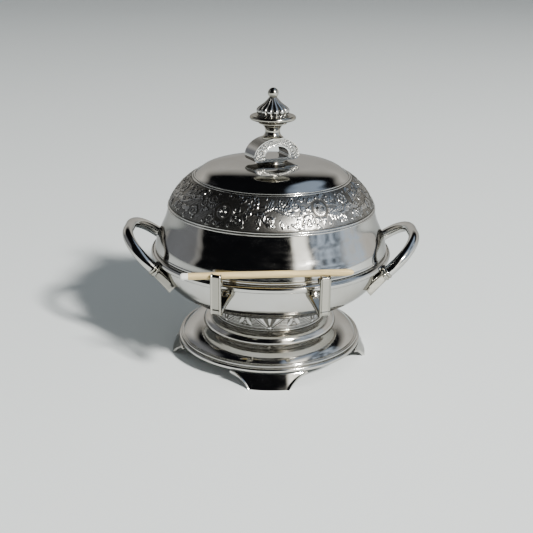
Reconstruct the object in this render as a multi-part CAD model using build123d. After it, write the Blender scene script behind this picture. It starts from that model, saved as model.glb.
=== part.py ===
from build123d import *
import os
from math import atan2, cos, degrees, hypot, radians, sin, sqrt

# Domed covered dish on a pedestal, in silver plate, with two loop handles, two knife rests at the
# front, a lift-off cover, a lift-out pierced drainer and a loose wooden stick lying on the rests.
# Millimetres, +Z up, front towards -Y, origin at the centre of the foot circle on the ground.

# ---------------------------------------------------------------- driving dimensions
sheet = 1.2                 # gauge of the spun shells

# pedestal
foot_height = 9.5           # ground to the underside of the base
foot_half_top = 25.4        # half width of a bracket foot where it meets the base
foot_half_bottom = 13.3     # half width of a bracket foot on the ground
foot_flare = 4.6            # how far a foot leans out from top to ground
foot_gauge = 2.0            # on the ground
foot_proud = 0.6            # top of a foot beyond the lower bead
foot_tuck = 0.6             # how far the top of a foot reaches in under the base's side
base_radius = 63.7          # outside of the lower bead
base_bead_height = 3.5
base_bead_depth = 2.1
base_side_height = 5.5      # upright side of the base, beads included
base_dome_rise = 7.3        # top of the side up to the flat under the neck flare
base_shoulder = 1.4         # flat at the top of the side, inside the upper bead
upper_bead_depth = 0.9
bead_gap = 0.4              # groove between the two beads
base_opening = 34.0         # hole in the middle of the base, under the neck
flare_radius = 46.2         # foot of the convex neck flare
flare_height = 5.7
flare_hollow = 1.6          # how far the flare's bulge lies inside its foot
flare_land_width = 0.8      # flat round the wire at the top of the flare
neck_radius = 37.6
neck_height = 14.5          # flare top to bowl underside
neck_wire_height = 1.3
neck_wire_depth = 0.9

# bowl
bowl_radius = 78.2          # outside of the wall at the rim
bowl_depth = 32.4           # underside to the top of the wall
bowl_wall = 1.5
bowl_lower_arc = 37.4       # radius of the curve that leaves the flat bottom
bowl_turn = 44.0            # degrees turned by the lower curve
rim_bead_depth = 3.2
rim_bead_height = 4.7
ledge_thickness = 1.3
ledge_width = 7.2           # from the bowl's outside to the cover's opening
drainer_ledge_height = 16.0 # bowl underside to the top of the drainer's ledge
drainer_ledge_width = 10.0
drainer_radius = 66.0
drainer_gauge = 1.0
drainer_finger_hole = 9.5   # radius of the hole it is lifted by
drainer_hole = 2.6          # radius of the drain holes
drainer_rim_height = 2.2    # over the drainer's underside
drainer_rings = ((24.0, 12), (38.0, 18), (52.0, 24))

# handles
handle_rod = 7.6            # diameter
handle_reach = 37.6         # centre of the far bar, along the rising plane from the wall
handle_rise = 41.0          # degrees
handle_drop = 12.5          # wall top down to where the legs' lines meet the wall
handle_half_root = 35.0     # half spacing of the legs at the wall
handle_half_end = 29.5      # half spacing at the far bar's corners
handle_corner = 28.0        # bend radius
handle_sink = 2.0           # how far inside the wall the legs are measured from
terminal_length = 7.5
terminal_width = 8.6
terminal_thickness = 6.6
terminal_edge = 1.2         # rounding of its long edges
terminal_buried = 7.0       # length before it is cut back to the wall
collar_ring = 0.6           # how far each collar ring stands proud
collar_ring_width = 2.0
collar_land = 0.2           # edge left between the rings
collar_gap = 0.3            # foot of the leg to the first ring

# knife rests
rest_angle = 20.2           # degrees each side of the front
rest_width = 6.6
rest_gauge = 2.6
rest_slot = 11.2            # rim bead to the inside of the upright
rest_top_above_rim = 10.6
rest_bottom_below_rim = 15.8
saddle_radius = 1.9         # small roll that a knife lies on
saddle_width = 5.0
saddle_neck = 1.6           # thickness of the bridge behind it
saddle_drop = 0.35          # gap under the stick
rest_under_bead = 0.6       # rim bead to the top of the arm
rest_root = 4.0             # how far inside the wall the arm is drawn before it is cut back

# cover
cover_clearance = 0.4       # cover lip inside the ledge
cover_ring_height = 2.4
cover_lip_drop = 3.5
cover_lip_gauge = 1.2
shoulder_radius = 69.0      # lower moulding
shoulder_height = 29.6      # above the cover's seat
crown_radius = 52.0         # upper moulding
crown_height = 49.3
cap_height = 58.0           # flat seat of the finial, above the cover's seat
cap_flat = 12.0
frieze_bulge = 2.2          # how far the band between the mouldings swells
frieze_gauge = 0.6
moulding_depth = 1.1
moulding_height = 2.4
cover_ring_proud = 0.2      # cover's foot ring beyond the bowl's wall

# finial
collar_radius = 10.5
collar_height = 2.0
loop_width = 34.0
loop_height = 15.0
loop_depth = 13.5
loop_turn = 29.0            # degrees, front of the loop turned towards +X
loop_hole_width = 17.8
loop_hole_height = 7.7
loop_floor = 1.9
spool_waist = 4.8
spool_flare = 7.1
spool_step = 9.3
spool_height = 10.9
disc_radius = 15.2
disc_height = 3.5
onion_foot = 9.9
onion_radius = 10.6
onion_neck = 2.4
onion_height = 11.5
ball_radius = 3.5
stud_radius = 2.0
stud_running = 0.15         # clearance round the stud
nut_radius = 4.2
nut_height = 3.2
washer_radius = 8.0
washer_thickness = 1.2
stud_tail = 1.6             # thread showing under the nut

# stick
stick_length = 103.8
stick_diameter = 4.3
stick_tip_length = 5.0
stick_tilt = 2.6            # degrees, right end up
stick_offset = -2.4         # its middle, to the left of the dish's middle
stick_clearance = 0.45      # to the knife rests
stick_below_tip = 1.3       # its middle line under the tips of the rests

# ---------------------------------------------------------------- levels worked out from them
base_side = base_radius - base_bead_depth
base_top = foot_height + base_side_height + base_dome_rise
flare_top = base_top + flare_height
bowl_bottom = flare_top + neck_height
wall_top = bowl_bottom + bowl_depth
seat = wall_top + ledge_thickness
rim_radius = bowl_radius + rim_bead_depth
ledge_opening = bowl_radius - ledge_width
cap_level = seat + cap_height
collar_top = cap_level + collar_height
loop_top = collar_top + loop_height
spool_top = loop_top + spool_height
disc_top = spool_top + disc_height
onion_top = disc_top + onion_height

os.makedirs("parts", exist_ok=True)


# ---------------------------------------------------------------- helpers
def at(r, z):
    """A point of a turned profile: radius r at height z."""
    return (r, 0, z)


def turned(*edges):
    """Solid of revolution about Z from the edges of a closed profile."""
    return revolve(make_face(list(edges)), Axis.Z)


def outline(*points):
    """Edges of a closed straight-sided profile."""
    return Polyline(*[at(r, z) for r, z in points], close=True)


def half_round(inner, bottom, depth, height):
    """Turned half-round wire lying against a cylinder of radius inner."""
    land = max(depth - height / 2, 0.05)
    low, high = at(inner + land, bottom), at(inner + land, bottom + height)
    bulge = ThreePointArc(high, at(inner + depth, bottom + height / 2), low)
    return turned(bulge, Line(low, at(inner, bottom)), Line(at(inner, bottom), at(inner, bottom + height)),
                  Line(at(inner, bottom + height), high))


def tube(inner, outer, bottom, top):
    """Plain ring or tube."""
    return turned(outline((inner, bottom), (outer, bottom), (outer, top), (inner, top)))


def write(name, solid):
    """Write one node's STEP file."""
    export_step(solid, f"parts/{name}.step")


# ---------------------------------------------------------------- pedestal
def bracket_foot():
    """Curved plate, cut to a bracket outline and leaning outwards, for the front of the base."""
    top_outer = base_radius + foot_proud
    ground_outer = top_outer + foot_flare
    plate = turned(outline((ground_outer - foot_gauge, 0), (ground_outer, 0),
                           (top_outer, foot_height), (base_side - foot_tuck, foot_height)))
    knee = (foot_half_bottom + 0.42 * (foot_half_top - foot_half_bottom), 0.66 * foot_height)
    right = ThreePointArc((foot_half_bottom, 0), knee, (foot_half_top, foot_height))
    left = ThreePointArc((-foot_half_top, foot_height), (-knee[0], knee[1]), (-foot_half_bottom, 0))
    shape = make_face([Line((-foot_half_bottom, 0), (foot_half_bottom, 0)), right,
                       Line((foot_half_top, foot_height), (-foot_half_top, foot_height)), left])
    cutter = extrude(Plane.XZ * shape, ground_outer + foot_gauge)
    return plate & cutter


front_foot = bracket_foot()
for name, turn in (("front", 0), ("right", 90), ("back", 180), ("left", 270)):
    write(f"foot_{name}", Rot(0, 0, turn) * front_foot)

side_top = foot_height + base_side_height
dish_edge = base_side - base_shoulder
dome_swell = (0.52 * (dish_edge + flare_radius), side_top + 0.62 * base_dome_rise)
dish_skin = ThreePointArc(at(dish_edge, side_top), at(*dome_swell), at(flare_radius, base_top))
under_swell = at(dome_swell[0] - 0.5 * sheet, dome_swell[1] - sheet)
dish_under = ThreePointArc(at(flare_radius, base_top - sheet), under_swell,
                           at(base_side - 2 * sheet, side_top - sheet))
write("base_dish", turned(
    Line(at(base_side - 1.25 * sheet, foot_height), at(base_side, foot_height)),
    Line(at(base_side, foot_height), at(base_side, side_top)),
    Line(at(base_side, side_top), at(dish_edge, side_top)),
    dish_skin,
    Line(at(flare_radius, base_top), at(base_opening, base_top)),
    Line(at(base_opening, base_top), at(base_opening, base_top - sheet)),
    Line(at(base_opening, base_top - sheet), at(flare_radius, base_top - sheet)),
    dish_under,
    Line(at(base_side - 2 * sheet, side_top - sheet), at(base_side - 1.25 * sheet, foot_height))))
write("base_lower_bead", half_round(base_side, foot_height, base_bead_depth, base_bead_height))
upper_bead_height = base_side_height - base_bead_height - bead_gap
write("base_upper_bead", half_round(base_side, side_top - upper_bead_height, upper_bead_depth,
                                     upper_bead_height))

flare_swell = (flare_radius - flare_hollow, base_top + 0.62 * flare_height)
flare_land = neck_radius + neck_wire_depth + flare_land_width
write("neck_flare", turned(
    Line(at(flare_radius - sheet, base_top), at(flare_radius, base_top)),
    ThreePointArc(at(flare_radius, base_top), at(*flare_swell), at(flare_land, flare_top)),
    Line(at(flare_land, flare_top), at(base_opening, flare_top)),
    Line(at(base_opening, flare_top), at(base_opening, flare_top - sheet)),
    Line(at(base_opening, flare_top - sheet), at(flare_land, flare_top - sheet)),
    ThreePointArc(at(flare_land, flare_top - sheet), at(flare_swell[0] - sheet, flare_swell[1] - sheet),
                  at(flare_radius - sheet, base_top))))
write("neck_drum", tube(neck_radius - sheet, neck_radius, flare_top, bowl_bottom))
write("neck_lower_wire", half_round(neck_radius, flare_top, neck_wire_depth, neck_wire_height))
write("neck_upper_wire", half_round(neck_radius, bowl_bottom - neck_wire_height, neck_wire_depth,
                                    neck_wire_height))


# ---------------------------------------------------------------- bowl
lower_rise = bowl_lower_arc * (1 - cos(radians(bowl_turn)))
upper_arc = (bowl_depth - lower_rise) / cos(radians(bowl_turn))
bowl_flat = bowl_radius - upper_arc - (bowl_lower_arc - upper_arc) * sin(radians(bowl_turn))


def bowl_profile(gauge):
    """Edges from the axis out along the bottom and up the wall, set in from the outside by gauge."""
    lower, upper = bowl_lower_arc - gauge, upper_arc - gauge
    upper_centre = (bowl_radius - upper_arc, wall_top)
    lower_centre = (bowl_flat, bowl_bottom + bowl_lower_arc)

    def on(centre, radius, angle):
        return at(centre[0] + radius * sin(radians(angle)), centre[1] - radius * cos(radians(angle)))

    start, join = on(lower_centre, lower, 0), on(lower_centre, lower, bowl_turn)
    end = on(upper_centre, upper, 90)
    return [Line(at(0, bowl_bottom + gauge), start),
            ThreePointArc(start, on(lower_centre, lower, bowl_turn / 2), join),
            ThreePointArc(join, on(upper_centre, upper, (90 + bowl_turn) / 2), end),
            Line(end, at(0, wall_top)), Line(at(0, wall_top), at(0, bowl_bottom + gauge))]


bowl_outside = turned(*bowl_profile(0))
bowl_inside = turned(*bowl_profile(bowl_wall))
bowl_floor = tube(0, bowl_flat, bowl_bottom, bowl_bottom + bowl_wall)
write("bowl_floor", bowl_floor)
write("bowl_shell", bowl_outside - bowl_inside - bowl_floor)
rim_bead = half_round(bowl_radius, seat - rim_bead_height, rim_bead_depth, rim_bead_height)
write("rim_bead", rim_bead)
write("seat_ledge", tube(ledge_opening, bowl_radius, wall_top, seat))
drainer_seat = bowl_bottom + drainer_ledge_height
ledge_blank = tube(drainer_radius - drainer_ledge_width / 2, bowl_radius, drainer_seat - sheet,
                   drainer_seat)
write("drainer_ledge", ledge_blank & bowl_inside)


def drainer():
    """Pierced plate with a finger hole in the middle."""
    plate = Pos(0, 0, drainer_seat + drainer_gauge / 2) * Cylinder(drainer_radius, drainer_gauge)
    tool = 2 * drainer_gauge
    holes = [Pos(0, 0, drainer_seat) * Cylinder(drainer_finger_hole, 2 * tool)]
    for radius, count in drainer_rings:
        ring = PolarLocations(radius, count)
        holes += [Pos(0, 0, drainer_seat) * place * Cylinder(drainer_hole, 2 * tool) for place in ring]
    return plate - holes


write("drainer_plate", drainer())
write("drainer_rim", tube(drainer_radius, drainer_radius + sheet, drainer_seat,
                          drainer_seat + drainer_rim_height))

# ---------------------------------------------------------------- handles
handle_root_x = sqrt(bowl_radius ** 2 - handle_half_root ** 2) - handle_sink
handle_plane = Plane(origin=(handle_root_x, 0, wall_top - handle_drop),
                     x_dir=(cos(radians(handle_rise)), 0, sin(radians(handle_rise))),
                     z_dir=(-sin(radians(handle_rise)), 0, cos(radians(handle_rise))))
leg_slope = atan2(handle_half_root - handle_half_end, handle_reach)
leg_start = terminal_length
leg_half = handle_half_root - leg_start * (handle_half_root - handle_half_end) / handle_reach


def leg_place(side, distance):
    """Place on a handle leg, local X along the leg: side -1 is the front leg."""
    root = Location((0, side * handle_half_root, 0), (0, 0, -side * degrees(leg_slope)))
    return root * Location((distance, 0, 0))


def handle_rod_solid():
    """Round rod: two legs joined by a far bar with wide bends."""
    path = FilletPolyline((leg_start, -leg_half), (handle_reach, -handle_half_end),
                          (handle_reach, handle_half_end), (leg_start, leg_half),
                          radius=handle_corner)
    section = (path ^ 0) * Circle(handle_rod / 2)
    return sweep(section, path=path)


def handle_terminal(side):
    """Squarish foot of a leg, swelling towards the bowl wall and ending on it."""
    small = Plane.YZ * RectangleRounded(terminal_width * 0.78, terminal_thickness * 0.9,
                                          terminal_edge)
    large = Plane.YZ * RectangleRounded(terminal_width * 1.15, terminal_thickness * 1.1,
                                          terminal_edge)
    end = terminal_length / cos(leg_slope)
    block = loft([Pos(-terminal_buried, 0, 0) * large, Pos(end, 0, 0) * small])
    return leg_place(side, 0) * block


def handle_collar(side):
    """Two rings on a leg, just past its foot."""
    start = terminal_length / cos(leg_slope) + collar_gap
    rings = []
    for step in (0, 1):
        low = start + step * collar_ring_width
        high, land = low + collar_ring_width, handle_rod / 2 + collar_land
        bulge = ThreePointArc((low, land), (low + collar_ring_width / 2, handle_rod / 2 + collar_ring),
                              (high, land))
        ends = Polyline((high, land), (high, handle_rod / 2), (low, handle_rod / 2), (low, land))
        rings.append(revolve(make_face([bulge, *ends.edges()]), Axis.X))
    return leg_place(side, 0) * (rings[0] + rings[1])


rod = handle_plane * handle_rod_solid()
right_pieces = {"handle": rod}
for end_name, side in (("front", -1), ("back", 1)):
    right_pieces[f"terminal_{end_name}"] = handle_plane * handle_terminal(side) - bowl_outside
    right_pieces[f"collar_{end_name}"] = handle_plane * handle_collar(side)
for piece_name, piece in right_pieces.items():
    if piece_name.startswith("terminal"):
        piece = piece - right_pieces["handle"]
    piece = piece - rim_bead
    write(f"{piece_name}_right", piece)
    write(f"{piece_name}_left", mirror(piece, Plane.YZ))

# ---------------------------------------------------------------- knife rests
upright_inner = rim_radius + rest_slot
upright_outer = upright_inner + rest_gauge
rest_top = seat + rest_top_above_rim
rest_bottom = seat - rest_bottom_below_rim
arm_top = seat - rim_bead_height - rest_under_bead
arm_root = bowl_radius - rest_root


def knife_rest():
    """Strap bent to a V: a sloping arm from the wall, a sharp bend, an upright and its saddle."""
    arm_drop = arm_top - rest_bottom - rest_gauge
    profile = make_face([
        Line((arm_root, arm_top), (upright_inner, rest_bottom + rest_gauge)),
        Line((upright_inner, rest_bottom + rest_gauge), (upright_inner, rest_top - rest_gauge / 2)),
        ThreePointArc((upright_inner, rest_top - rest_gauge / 2), ((upright_inner + upright_outer) / 2,
                      rest_top), (upright_outer, rest_top - rest_gauge / 2)),
        Line((upright_outer, rest_top - rest_gauge / 2), (upright_outer, rest_bottom + 0.4 * rest_gauge)),
        ThreePointArc((upright_outer, rest_bottom + 0.4 * rest_gauge),
                      (upright_outer - 0.4 * rest_gauge, rest_bottom),
                      (upright_outer - rest_gauge, rest_bottom)),
        Line((upright_outer - rest_gauge, rest_bottom),
             (arm_root, rest_bottom + arm_drop)),
        Line((arm_root, rest_bottom + arm_drop), (arm_root, arm_top))])
    strap = extrude(Plane.XZ * profile, rest_width / 2, both=True)
    return strap - bowl_outside


stick_radius = stick_diameter / 2
rest_front = (upright_inner * cos(radians(rest_angle))
              - rest_width / 2 * sin(radians(rest_angle)))
stick_y = -(rest_front - stick_clearance - stick_radius)
saddle_x = -stick_y / cos(radians(rest_angle))
stick_z = rest_top - stick_below_tip


def saddle(lateral):
    """Roll behind the upright's tip that carries a knife, a little under the stick."""
    stick_low = stick_z + lateral * sin(radians(stick_tilt)) - stick_radius - saddle_drop
    centre_z = stick_low - saddle_radius
    roll = Pos(saddle_x, 0, centre_z) * Rot(90, 0, 0) * Cylinder(saddle_radius, saddle_width)
    bridge_length = upright_inner - saddle_x
    bridge = Pos(saddle_x + bridge_length / 2, 0, centre_z) * Box(bridge_length, saddle_width, saddle_neck)
    return roll + bridge


for side_name, side in (("left", -1), ("right", 1)):
    turn = -90 + side * rest_angle
    lateral = side * saddle_x * sin(radians(rest_angle)) - stick_offset
    rest = Rot(0, 0, turn) * (knife_rest() + saddle(lateral))
    write(f"knife_rest_{side_name}", rest)

# ---------------------------------------------------------------- cover
ring_outer = bowl_radius + cover_ring_proud
lip_outer = ledge_opening - cover_clearance
lip_inner = lip_outer - cover_lip_gauge
ring_top = seat + cover_ring_height
write("cover_foot_ring", turned(outline(
    (lip_inner, seat - cover_lip_drop), (lip_outer, seat - cover_lip_drop), (lip_outer, seat),
    (ring_outer, seat), (ring_outer, ring_top), (ring_outer - 2 * sheet, ring_top),
    (ring_outer - 2 * sheet, seat + sheet), (lip_inner, seat + sheet))))

shoulder_z = seat + shoulder_height
crown_z = seat + crown_height
skirt_run = ring_outer - shoulder_radius
skirt_rise = shoulder_z - ring_top
band_run = shoulder_radius - crown_radius
band_rise = crown_z - shoulder_z
band_length = hypot(band_run, band_rise)


def skirt_edge(gauge):
    """Flared skirt, almost upright at the foot ring and again at the lower moulding."""
    shares = ((0, 0), (0.14, 0.21), (0.45, 0.44), (0.76, 0.69), (1, 1))
    points = [at(ring_outer - gauge - a * skirt_run, ring_top + b * skirt_rise) for a, b in shares]
    return Spline(*points, tangents=[(0, 0, 1), (-0.2, 0, 1)])


def band_edge(gauge):
    """Slightly swelling shoulder between the two mouldings, set in by gauge at both ends."""
    across, up = band_rise / band_length, band_run / band_length
    swell = frieze_bulge - gauge
    middle = at((shoulder_radius + crown_radius) / 2 + across * swell,
                (shoulder_z + crown_z) / 2 + up * swell)
    return ThreePointArc(at(shoulder_radius - gauge, shoulder_z), middle,
                         at(crown_radius - gauge * across, crown_z - gauge * up))


def cap_edge(gauge):
    """Low cap from the upper moulding to the flat under the finial."""
    across, up = band_rise / band_length, band_run / band_length
    rise = cap_level - crown_z
    start = at(crown_radius - gauge * across, crown_z - gauge * up)
    return Spline(start, at(0.85 * crown_radius, crown_z + 0.64 * rise - gauge),
                  at(0.56 * crown_radius, crown_z + 0.98 * rise - gauge),
                  at(cap_flat, cap_level - gauge), tangents=[(-1, 0, 0.75), (-1, 0, 0)])


hole = stud_radius + stud_running
outer_edges = [skirt_edge(0), band_edge(0), cap_edge(0)]
inner_edges = [skirt_edge(sheet), band_edge(sheet), cap_edge(sheet)]
write("cover_dome", turned(
    Line(at(ring_outer - sheet, ring_top), at(ring_outer, ring_top)),
    *outer_edges,
    Line(at(cap_flat, cap_level), at(hole, cap_level)),
    Line(at(hole, cap_level), at(hole, cap_level - sheet)),
    Line(at(hole, cap_level - sheet), at(cap_flat, cap_level - sheet)),
    *inner_edges))

# The chased band lies on the shoulder, between the mouldings.
across, up = band_rise / band_length, band_run / band_length
band_low, band_high = band_edge(0) @ 0.07, band_edge(0) @ 0.93
band_mid = band_edge(0) @ 0.5


def lifted(point, amount):
    """A point of the shoulder, lifted square to it."""
    return at(point.X + across * amount, point.Z + up * amount)


write("cover_frieze", turned(
    ThreePointArc(lifted(band_low, 0), lifted(band_mid, 0), lifted(band_high, 0)),
    Line(lifted(band_high, 0), lifted(band_high, frieze_gauge)),
    ThreePointArc(lifted(band_high, frieze_gauge), lifted(band_mid, frieze_gauge),
                  lifted(band_low, frieze_gauge)),
    Line(lifted(band_low, frieze_gauge), lifted(band_low, 0))))


def moulding(name, centre, solid_inside, lean):
    """Half-round wire round the cover, let down on its surface."""
    roll = Pos(centre[0], 0, centre[1]) * Rot(0, lean, 0) * Rot(90, 0, 0) * Ellipse(
        moulding_height / 2, moulding_depth)
    write(name, revolve(roll, Axis.Z) - solid_inside)


cover_filled = turned(
    Line(at(0, ring_top), at(ring_outer, ring_top)), *outer_edges,
    Line(at(cap_flat, cap_level), at(0, cap_level)), Line(at(0, cap_level), at(0, ring_top)))
moulding("cover_lower_moulding", (shoulder_radius, shoulder_z - 0.2), cover_filled, 80)
moulding("cover_upper_moulding", (crown_radius, crown_z), cover_filled, 30)

# ---------------------------------------------------------------- finial
write("finial_collar", turned(
    Line(at(hole, cap_level), at(collar_radius, cap_level)),
    Line(at(collar_radius, cap_level), at(collar_radius, cap_level + 0.25 * collar_height)),
    ThreePointArc(at(collar_radius, cap_level + 0.25 * collar_height),
                  at(0.84 * collar_radius, cap_level + 0.6 * collar_height),
                  at(0.93 * collar_radius, collar_top)),
    Line(at(0.93 * collar_radius, collar_top), at(hole, collar_top)),
    Line(at(hole, collar_top), at(hole, cap_level))))


def arch(width, height, floor):
    """D-shaped face: flat floor with small rounded corners under a half-ellipse."""
    foot = 0.22 * height
    half = width / 2
    top = EllipticalCenterArc((0, floor + foot), half, height - foot, start_angle=0,
                              arc_size=180)
    right = ThreePointArc((half - foot, floor), (half - 0.29 * foot, floor + 0.29 * foot),
                          (half, floor + foot))
    left = ThreePointArc((-half, floor + foot), (-half + 0.29 * foot, floor + 0.29 * foot),
                         (-half + foot, floor))
    return make_face([top, left, Line((-half + foot, floor), (half - foot, floor)), right])


def prism(face, depth):
    """Extrude a face of the XZ plane both ways along Y, then turn it with the loop."""
    return Rot(0, 0, loop_turn) * extrude(Plane.XZ * face, depth / 2, both=True)


loop_block = prism(arch(loop_width, loop_height, collar_top), loop_depth)
loop_hole = prism(arch(loop_hole_width, loop_hole_height, collar_top + loop_floor), 2 * loop_depth)
write("finial_loop", loop_block - loop_hole)

spool_sink = 0.3 * loop_height
spool = turned(
    Line(at(0, loop_top - spool_sink), at(spool_flare, loop_top - spool_sink)),
    Line(at(spool_flare, loop_top - spool_sink), at(spool_flare, loop_top - 0.1)),
    ThreePointArc(at(spool_flare, loop_top - 0.1), at(spool_waist + 0.5, loop_top + 1.8),
                  at(spool_waist, loop_top + 4)),
    ThreePointArc(at(spool_waist, loop_top + 4), at(spool_waist + 1.2, spool_top - 4.0),
                  at(spool_step, spool_top - 2)),
    Line(at(spool_step, spool_top - 2), at(spool_step, spool_top - 1.2)),
    Line(at(spool_step, spool_top - 1.2), at(spool_step - 1.2, spool_top)),
    Line(at(spool_step - 1.2, spool_top), at(0, spool_top)),
    Line(at(0, spool_top), at(0, loop_top - spool_sink)))
write("finial_spool", spool - loop_block)

rim_low = spool_top + 0.5 * disc_height
write("finial_disc", turned(
    Line(at(0, spool_top), at(spool_step, spool_top)),
    Line(at(spool_step, spool_top), at(disc_radius - 0.8, spool_top + 0.4 * disc_height)),
    ThreePointArc(at(disc_radius - 0.8, spool_top + 0.4 * disc_height), at(disc_radius, rim_low + 0.2),
                  at(disc_radius - 0.8, spool_top + 0.8 * disc_height)),
    Line(at(disc_radius - 0.8, spool_top + 0.8 * disc_height), at(onion_foot + 0.5, disc_top)),
    Line(at(onion_foot + 0.5, disc_top), at(0, disc_top)),
    Line(at(0, disc_top), at(0, spool_top))))
write("finial_onion", turned(
    Line(at(0, disc_top), at(onion_foot, disc_top)),
    Spline(at(onion_foot, disc_top), at(onion_radius, disc_top + 0.34 * onion_height),
           at(0.55 * onion_radius, disc_top + 0.68 * onion_height), at(onion_neck, onion_top)),
    Line(at(onion_neck, onion_top), at(0, onion_top)),
    Line(at(0, onion_top), at(0, disc_top))))
ball_centre = onion_top + sqrt(ball_radius ** 2 - onion_neck ** 2)
ball = Pos(0, 0, ball_centre) * Sphere(ball_radius)
write("finial_ball", split(ball, Plane.XY.offset(onion_top), keep=Keep.TOP))

under_cap = cap_level - sheet
nut_top = under_cap - washer_thickness
stud_bottom = nut_top - nut_height - stud_tail
stud_length = collar_top - stud_bottom
write("finial_stud", Pos(0, 0, (collar_top + stud_bottom) / 2) * Cylinder(stud_radius, stud_length))
write("finial_washer", tube(hole, washer_radius, nut_top, under_cap))
nut = extrude(Pos(0, 0, nut_top - nut_height) * RegularPolygon(nut_radius, 6), nut_height)
write("finial_nut", nut - Pos(0, 0, nut_top) * Cylinder(stud_radius, 3 * nut_height))

# ---------------------------------------------------------------- stick
stick_place = Location((stick_offset, stick_y, stick_z), (0, -stick_tilt, 0))
wood_length = stick_length - stick_tip_length
wood = Pos(stick_tip_length / 2, 0, 0) * Rot(0, 90, 0) * Cylinder(stick_radius, wood_length)
wood = fillet(wood.edges().sort_by(Axis.X)[-1], 0.7 * stick_radius)
tip_middle = -(stick_length - stick_tip_length) / 2
tip = Pos(tip_middle, 0, 0) * Rot(0, 90, 0) * Cylinder(stick_radius, stick_tip_length)
tip = fillet(tip.edges().sort_by(Axis.X)[0], 0.8 * stick_radius)
write("stick_wood", stick_place * wood)
write("stick_tip", stick_place * tip)
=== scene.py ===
from math import atan2, cos, hypot, pi, radians, sin, sqrt, tau

import bpy
import numpy as np
from mathutils import Matrix, Vector


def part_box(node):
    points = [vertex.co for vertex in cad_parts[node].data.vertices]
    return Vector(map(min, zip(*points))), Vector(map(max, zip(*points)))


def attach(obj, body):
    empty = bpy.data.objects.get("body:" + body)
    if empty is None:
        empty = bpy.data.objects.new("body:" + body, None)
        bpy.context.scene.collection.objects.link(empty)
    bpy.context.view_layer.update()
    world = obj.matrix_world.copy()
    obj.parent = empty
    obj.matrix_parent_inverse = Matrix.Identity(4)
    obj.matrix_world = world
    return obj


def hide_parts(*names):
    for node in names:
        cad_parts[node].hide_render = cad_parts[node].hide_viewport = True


bl_info = {
    "name": "Covered Dish",
    "version": (1, 0, 0),
    "blender": (4, 5, 0),
    "location": "View3D > Sidebar > Covered Dish",
    "description": "Builds the silver-plated covered dish, its loose stick and a plain studio",
    "category": "Add Mesh",
}

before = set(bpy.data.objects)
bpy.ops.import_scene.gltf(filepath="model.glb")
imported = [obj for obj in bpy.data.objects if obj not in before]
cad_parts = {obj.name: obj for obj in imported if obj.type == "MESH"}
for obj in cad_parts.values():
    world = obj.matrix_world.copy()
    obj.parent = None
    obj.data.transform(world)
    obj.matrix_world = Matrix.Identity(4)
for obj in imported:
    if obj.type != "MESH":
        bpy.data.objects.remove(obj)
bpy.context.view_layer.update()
MM = 0.001

# gauges and fits that the frame's boxes don't give, in millimetres
SHEET = 1.2
BOWL_SHEET = 1.5
STUD_HOLE = 2.15
REST_SLOT = 11.2
STICK_TILT = radians(2.6)


# ------------------------------------------------------------------ sizes read from the frame
def reach(node):
    """Radius of a turned node, in millimetres."""
    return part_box(node)[1][0] / MM


def low(node):
    """Lowest level of a node, in millimetres."""
    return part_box(node)[0][2] / MM


def high(node):
    """Highest level of a node, in millimetres."""
    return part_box(node)[1][2] / MM


# ------------------------------------------------------------------ settings
class DishSettings(bpy.types.PropertyGroup):
    """Sizes of the fine work that the frame doesn't hold."""

    turn_steps: bpy.props.IntProperty(
        name="Turning steps", description="Facets round each turned piece", default=208, min=48)
    chase_steps: bpy.props.IntProperty(
        name="Chasing steps", description="Columns of mesh round the chased band", default=1480, min=200)
    chase_depth: bpy.props.FloatProperty(
        name="Chasing depth", description="Height of the chased relief over its ground",
        default=0.0005, unit="LENGTH")
    onion_ribs: bpy.props.IntProperty(
        name="Onion ribs", description="Ribs round the onion of the finial", default=14, min=3)
    rib_depth: bpy.props.FloatProperty(
        name="Rib depth", description="Depth of the grooves between the ribs, as a share of the radius",
        default=0.16, subtype="FACTOR")
    foot_ridge: bpy.props.FloatProperty(
        name="Foot ridge", description="Height of the raised edge down the sides of each foot",
        default=0.0007, unit="LENGTH")
    strap_rim: bpy.props.FloatProperty(
        name="Strap rim", description="Height of the raised edges of the knife rest straps",
        default=0.0006, unit="LENGTH")


class FinishSettings(bpy.types.PropertyGroup):
    """Colours of the finishes."""

    silver: bpy.props.FloatVectorProperty(
        name="Silver", description="Clean polished plate", subtype="COLOR", size=4,
        default=(0.57, 0.562, 0.54, 1))
    tarnish: bpy.props.FloatVectorProperty(
        name="Tarnish", description="Plate that has begun to yellow", subtype="COLOR", size=4,
        default=(0.43, 0.40, 0.345, 1))
    # Darker, yellower plate for the castings: partly tarnish, partly painted shade, lowered to stand for
    # the dark reflections these pieces show.
    aged_and_shaded: bpy.props.FloatVectorProperty(
        name="Aged silver", description="Handled plate on the castings", subtype="COLOR", size=4,
        default=(0.40, 0.385, 0.34, 1))
    oxide: bpy.props.FloatVectorProperty(
        name="Oxide", description="Darkened ground of the chasing", subtype="COLOR", size=4,
        default=(0.10, 0.095, 0.085, 1))
    wood: bpy.props.FloatVectorProperty(
        name="Wood", description="Pale softwood", subtype="COLOR", size=4,
        default=(0.72, 0.55, 0.27, 1))
    # The tip colour is a painted highlight: its white stands for the glint of the bowl's rim behind the
    # stick's end, not for a coating.
    tip: bpy.props.FloatVectorProperty(
        name="Tip", description="Dry coating on the stick's tip", subtype="COLOR", size=4,
        default=(0.80, 0.78, 0.74, 1))
    brass: bpy.props.FloatVectorProperty(
        name="Brass", description="Fixings inside the cover", subtype="COLOR", size=4,
        default=(0.72, 0.55, 0.28, 1))


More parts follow.
